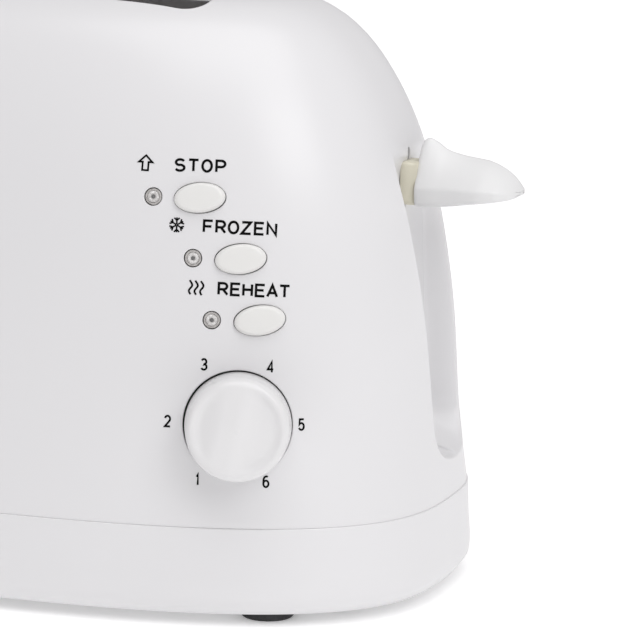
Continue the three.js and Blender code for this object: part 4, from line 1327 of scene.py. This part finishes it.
class Finish:
    """A Principled material in the making."""

    def __init__(self, name):
        self.material = bpy.data.materials.new(name)
        self.material.use_nodes = True
        self.nodes = self.material.node_tree.nodes
        self.shader = self.nodes["Principled BSDF"]

    def link(self, output, node, name):
        self.material.node_tree.links.new(output, node.inputs[name])

    def node(self, kind, **inputs):
        """A new node with the given inputs, words joined by underscores."""
        made = self.nodes.new(kind)
        for name, value in inputs.items():
            made.inputs[name.replace("_", " ")].default_value = value
        return made

    def place(self):
        return self.node("ShaderNodeTexCoord").outputs["Object"]

    def noise(self, scale, detail, vector=None):
        texture = self.node("ShaderNodeTexNoise", Scale=scale, Detail=detail)
        self.link(vector or self.place(), texture, "Vector")
        return texture.outputs["Fac"]

    def tint(self, source, stops):
        """Colours the surface by a ramp."""
        ramp = self.node("ShaderNodeValToRGB")
        for element, (place, colour) in zip(ramp.color_ramp.elements, stops):
            element.position = place
            element.color = (*colour, 1)
        self.link(source, ramp, "Fac")
        self.link(ramp.outputs["Color"], self.shader, "Base Color")

    def gloss(self, source, low, high):
        """Lets the roughness wander between two values."""
        remap = self.node("ShaderNodeMapRange", To_Min=low, To_Max=high)
        self.link(source, remap, "Value")
        self.link(remap.outputs["Result"], self.shader, "Roughness")

    def bump(self, source, strength, distance):
        bump = self.node("ShaderNodeBump", Strength=strength, Distance=distance)
        self.link(source, bump, "Height")
        self.link(bump.outputs["Normal"], self.shader, "Normal")

    def done(self, **inputs):
        """Sets plain inputs of the surface and hands over the material."""
        for name, value in inputs.items():
            self.shader.inputs[name.replace("_", " ")].default_value = value
        return self.material


def moulded_plastic(name, colour, shade, roughness, grain=0.05, mottle=14):
    """Injection-moulded plastic: a faint mottle in colour and gloss, and a fine moulded skin."""
    finish = Finish(name)
    finish.tint(finish.noise(mottle, 1), [(0.3, shade), (0.7, colour)])
    finish.gloss(finish.noise(mottle * 2, 1), roughness * 0.9, roughness * 1.1)
    finish.bump(finish.noise(1100, 1), grain, 0.00004)
    return finish.done(IOR=1.5)


def metal(name, colour, dark, roughness, scale=(1, 1, 1), streak=300, strength=0.08):
    """Sheet metal with drawn streaks and a little staining."""
    finish = Finish(name)
    mapping = finish.node("ShaderNodeMapping", Scale=scale)
    finish.link(finish.place(), mapping, "Vector")
    streaks = finish.noise(streak, 5, mapping.outputs["Vector"])
    finish.tint(finish.noise(25, 4), [(0.3, dark), (0.6, colour)])
    finish.gloss(streaks, roughness * 0.7, roughness * 1.4)
    finish.bump(streaks, strength, 0.0002)
    return finish.done(Metallic=1)


def soft_rubber(name, colour):
    """Matt rubber with a little dust."""
    finish = Finish(name)
    finish.tint(finish.noise(60, 5), [(0.4, colour), (0.8, tuple(c * 1.8 for c in colour))])
    finish.bump(finish.noise(1500, 3), 0.2, 0.0001)
    return finish.done(Roughness=0.8)


def mica_sheet(name):
    """Pressed mica: flaky, pearly layers."""
    finish = Finish(name)
    flakes = finish.node("ShaderNodeTexVoronoi", Scale=260)
    finish.link(finish.place(), flakes, "Vector")
    finish.tint(flakes.outputs["Color"], [(0.1, (0.42, 0.34, 0.22)), (0.9, (0.72, 0.63, 0.46))])
    finish.bump(flakes.outputs["Distance"], 0.25, 0.0002)
    return finish.done(Roughness=0.42)


def circuit_board(name):
    """Green board with a faint grid of tracks."""
    finish = Finish(name)
    tracks = finish.node(
        "ShaderNodeTexBrick", Scale=120, Color1=(0.05, 0.23, 0.09, 1),
        Color2=(0.06, 0.27, 0.10, 1), Mortar=(0.10, 0.36, 0.15, 1))
    finish.link(finish.place(), tracks, "Vector")
    finish.link(tracks.outputs["Color"], finish.shader, "Base Color")
    finish.bump(tracks.outputs["Fac"], 0.2, 0.0001)
    return finish.done(Roughness=0.4)


def clear_lens(name):
    """Water-clear lamp epoxy, seen as a thin glossy skin over what it encloses."""
    finish = Finish(name)
    finish.gloss(finish.noise(500, 2), 0.04, 0.12)
    return finish.done(Base_Color=(0.80, 0.79, 0.78, 1), Alpha=0.15, IOR=1.5)


def print_ink(name):
    """Matt black screen print, a little uneven."""
    finish = Finish(name)
    finish.tint(finish.noise(700, 3), [(0.3, (0.001,) * 3), (0.8, (0.003,) * 3)])
    return finish.done(Roughness=0.6, Specular_IOR_Level=0.08)


WHITE = moulded_plastic("white_abs", (0.73, 0.725, 0.735), (0.72, 0.715, 0.725), 0.3)
WHITE_LEVER = moulded_plastic("white_lever_abs", (0.745, 0.745, 0.745), (0.735, 0.735, 0.735), 0.42)
WHITE_DIAL = moulded_plastic("white_dial_abs", (0.73, 0.725, 0.73), (0.72, 0.715, 0.72), 0.24)
# Darker cream for the lever neck: a cream tint, darkened with painted shade for the shadow it sits in
# between the handle and the recess floor.
CREAM_WITH_PAINTED_SHADE = moulded_plastic("cream_abs_painted_shade", (0.68, 0.65, 0.535), (0.63, 0.60, 0.485), 0.4)
LAMP_RIM = moulded_plastic("lamp_rim", (0.56, 0.54, 0.52), (0.34, 0.32, 0.31), 0.3, 0.3, mottle=900)
LAMP_BOWL = moulded_plastic("lamp_bowl", (0.80, 0.79, 0.78), (0.46, 0.44, 0.43), 0.2, 0.4, mottle=1200)
IVORY = moulded_plastic("ivory_abs", (0.75, 0.745, 0.728), (0.74, 0.735, 0.718), 0.30)
BLACK_PLASTIC = moulded_plastic("black_plastic", (0.03, 0.03, 0.032), (0.022, 0.022, 0.024), 0.45, 0.2)
STEEL = metal("sheet_steel", (0.56, 0.56, 0.57), (0.47, 0.46, 0.45), 0.36, (1, 1, 14))
BRIGHT = metal("bright_steel", (0.72, 0.72, 0.73), (0.62, 0.62, 0.62), 0.20, (14, 1, 1))
WIRE = metal("drawn_wire", (0.55, 0.55, 0.55), (0.42, 0.41, 0.40), 0.30)
RIBBON = metal("heater_ribbon", (0.26, 0.24, 0.22), (0.16, 0.14, 0.13), 0.45)
COPPER = metal("copper_winding", (0.62, 0.30, 0.14), (0.48, 0.21, 0.10), 0.32, (1, 1, 40), 400, 0.4)
RUBBER = soft_rubber("foot_rubber", (0.035, 0.035, 0.037))
MICA = mica_sheet("mica")
BOARD = circuit_board("circuit_board")
LENS = clear_lens("lamp_epoxy")
INK = print_ink("black_print")


# ---- Assembly -------------------------------------------------------------------------------

add_piece("shell_body", shell_mesh(), "root", WHITE, ["outer_shell"])
add_piece("base_tub", base_mesh(), "root", WHITE, ["base"])
add_piece("lever_handle", lever_mesh(), "lever", WHITE_LEVER, ["lever_knob"])
# The neck's material carries painted shade on top of its cream tint.
add_piece("lever_neck", neck_mesh(), "lever", CREAM_WITH_PAINTED_SHADE)
add_piece("dial_cap", dial_mesh(), "dial", WHITE_DIAL, ["dial_knob"])
for name in BUTTONS:
    add_piece(f"{name}_key", button_mesh(name), f"{name}_key", IVORY, [f"{name}_button"])
for name, place in LEDS.items():
    patch = Patch(*place)
    finishes = (LENS, LAMP_RIM, LAMP_BOWL, BLACK_PLASTIC)
    parts = zip(("lens", "rim", "bowl", "die"), led_profiles(), finishes)
    for part, profile, material in parts:
        mesh = turned_mesh(f"{name}_{part}", patch, profile, 40)
        add_piece(mesh.name, mesh, "root", material, [f"{name}_led"] if part == "lens" else [])

MATERIAL_OF_SLOT = {
    "shell_white": WHITE, "lever_white": WHITE_LEVER, "dial_white": WHITE_DIAL, "button_ivory": IVORY,
    "led_clear": LENS, "foot_rubber": RUBBER, "gland_black": BLACK_PLASTIC, "inner_plastic": BLACK_PLASTIC,
    "sheet_steel": STEEL, "bright_steel": BRIGHT, "wire_steel": WIRE, "mica": MICA,
    "heater_ribbon": RIBBON, "board_green": BOARD, "copper": COPPER}
SOFTENED = ("crumb_tray", "cord_gland", "carriage", "slot_plate")


def soften(node):
    """Rounds a CAD node's sharp edges a little."""
    bevel = node.modifiers.new("soft_edges", "BEVEL")
    bevel.width = 0.3 * MM
    bevel.segments = 2
    bevel.limit_method = "ANGLE"
    bevel.angle_limit = math.radians(40)


for row in frame["record"]["subparts"]:
    node = frame["nodes"][row["node"]]
    if not node.hide_render:
        node.data.materials.clear()
        node.data.materials.append(MATERIAL_OF_SLOT[row["material_slot"]])
        if row["node"] in SOFTENED or row["node"].startswith("foot_"):
            soften(node)

# Words, signs and numbers.
for words, (x, z, pitch, lean) in LABELS.items():
    patch = Patch(x, z, turn=lean)
    for k, letter in enumerate(words):
        shift = (k - (len(words) - 1) / 2) * pitch
        mesh = glyph_mesh(letter, LETTER_WIDTH, LETTER_HEIGHT, LETTER_WEIGHT, shift)
        print_faces(f"label_{words.lower()}_{k + 1}", mesh, patch)
for name, (x, z, lean, weight) in SIGNS.items():
    print_faces(f"sign_{name}", stroke_mesh(sign_strokes(name), weight), Patch(x, z, turn=lean))
for number, place in NUMBERS.items():
    width = NUMBER_WIDTH * (ONE_SHARE if number == "1" else 1)
    mesh = glyph_mesh(number, width, NUMBER_HEIGHT, NUMBER_WEIGHT)
    print_faces(f"number_{number}", mesh, Patch(*place))


# ---- Studio ---------------------------------------------------------------------------------


def floor():
    """A pale light table, brighter towards the back."""
    mesh = bpy.data.meshes.new("studio_floor")
    size = 8.0
    corners = [(-size, -size, 0), (size, -size, 0), (size, size, 0), (-size, size, 0)]
    mesh.from_pydata(corners, [], [(0, 1, 2, 3)])
    finish = Finish("studio_floor")
    finish.gloss(finish.noise(40, 3), 0.55, 0.7)
    split = finish.node("ShaderNodeSeparateXYZ")
    finish.link(finish.place(), split, "Vector")
    glow = finish.node("ShaderNodeMapRange", From_Min=0.2, From_Max=1.2, To_Min=0.24, To_Max=0.60)
    finish.link(split.outputs["Y"], glow, "Value")
    finish.link(glow.outputs["Result"], finish.shader, "Emission Strength")
    mesh.materials.append(finish.done(
        Base_Color=(0.92, 0.92, 0.92, 1), Specular_IOR_Level=0.2, Emission_Color=(1, 1, 1, 1)))
    piece = bpy.data.objects.new("studio_floor", mesh)
    bpy.context.scene.collection.objects.link(piece)


def area_light(name, place, target, size, power):
    """A rectangular lamp that faces a target."""
    light = bpy.data.lights.new(name, "AREA")
    light.shape = "RECTANGLE"
    light.size, light.size_y = size
    light.energy = power
    lamp = bpy.data.objects.new(name, light)
    bpy.context.scene.collection.objects.link(lamp)
    lamp.location = place
    lamp.rotation_euler = (Vector(target) - Vector(place)).to_track_quat("-Z", "Y").to_euler()


def studio():
    """Soft surroundings, the light table and two lamps."""
    world = bpy.data.worlds.new("studio")
    world.use_nodes = True
    background = world.node_tree.nodes["Background"]
    background.inputs["Color"].default_value = (1.0, 0.985, 1.0, 1)
    background.inputs["Strength"].default_value = 0.50
    bpy.context.scene.world = world
    floor()
    target = (0.08, 0, 0.1)
    area_light("overhead", (0.40, -0.45, 1.85), target, (1.7, 1.5), 16)
    area_light("high_right", (1.30, -1.00, 1.15), target, (0.9, 0.9), 8)


def camera():
    """A long lens, level with the controls, from the right of the front."""
    azimuth = math.radians(18.55)
    elevation = math.radians(10.02)
    roll = math.radians(1.2)
    distance = 1.0008
    mm_per_pixel = 0.30       # at the target, in a square picture this many pixels wide
    pixels = 640
    target = Vector(((94.12 + BODY_X) * MM, 0, 79.2 * MM))
    flat = math.cos(elevation)
    back = Vector((math.sin(azimuth) * flat, -math.cos(azimuth) * flat, math.sin(elevation)))
    right = (-back).cross(Vector((0, 0, 1))).normalized()
    up = right.cross(-back)
    turned_right = math.cos(roll) * right + math.sin(roll) * up
    turned_up = math.cos(roll) * up - math.sin(roll) * right
    data = bpy.data.cameras.new("camera")
    data.sensor_width = 36
    data.lens = data.sensor_width * (distance / MM / mm_per_pixel) / pixels
    data.clip_start = 0.05
    data.clip_end = 50
    lens = bpy.data.objects.new("camera", data)
    bpy.context.scene.collection.objects.link(lens)
    matrix = Matrix((turned_right, turned_up, back)).transposed().to_4x4()
    matrix.translation = target + distance * back
    lens.matrix_world = matrix
    bpy.context.scene.camera = lens


studio()
camera()
bpy.context.scene.view_settings.view_transform = "Standard"
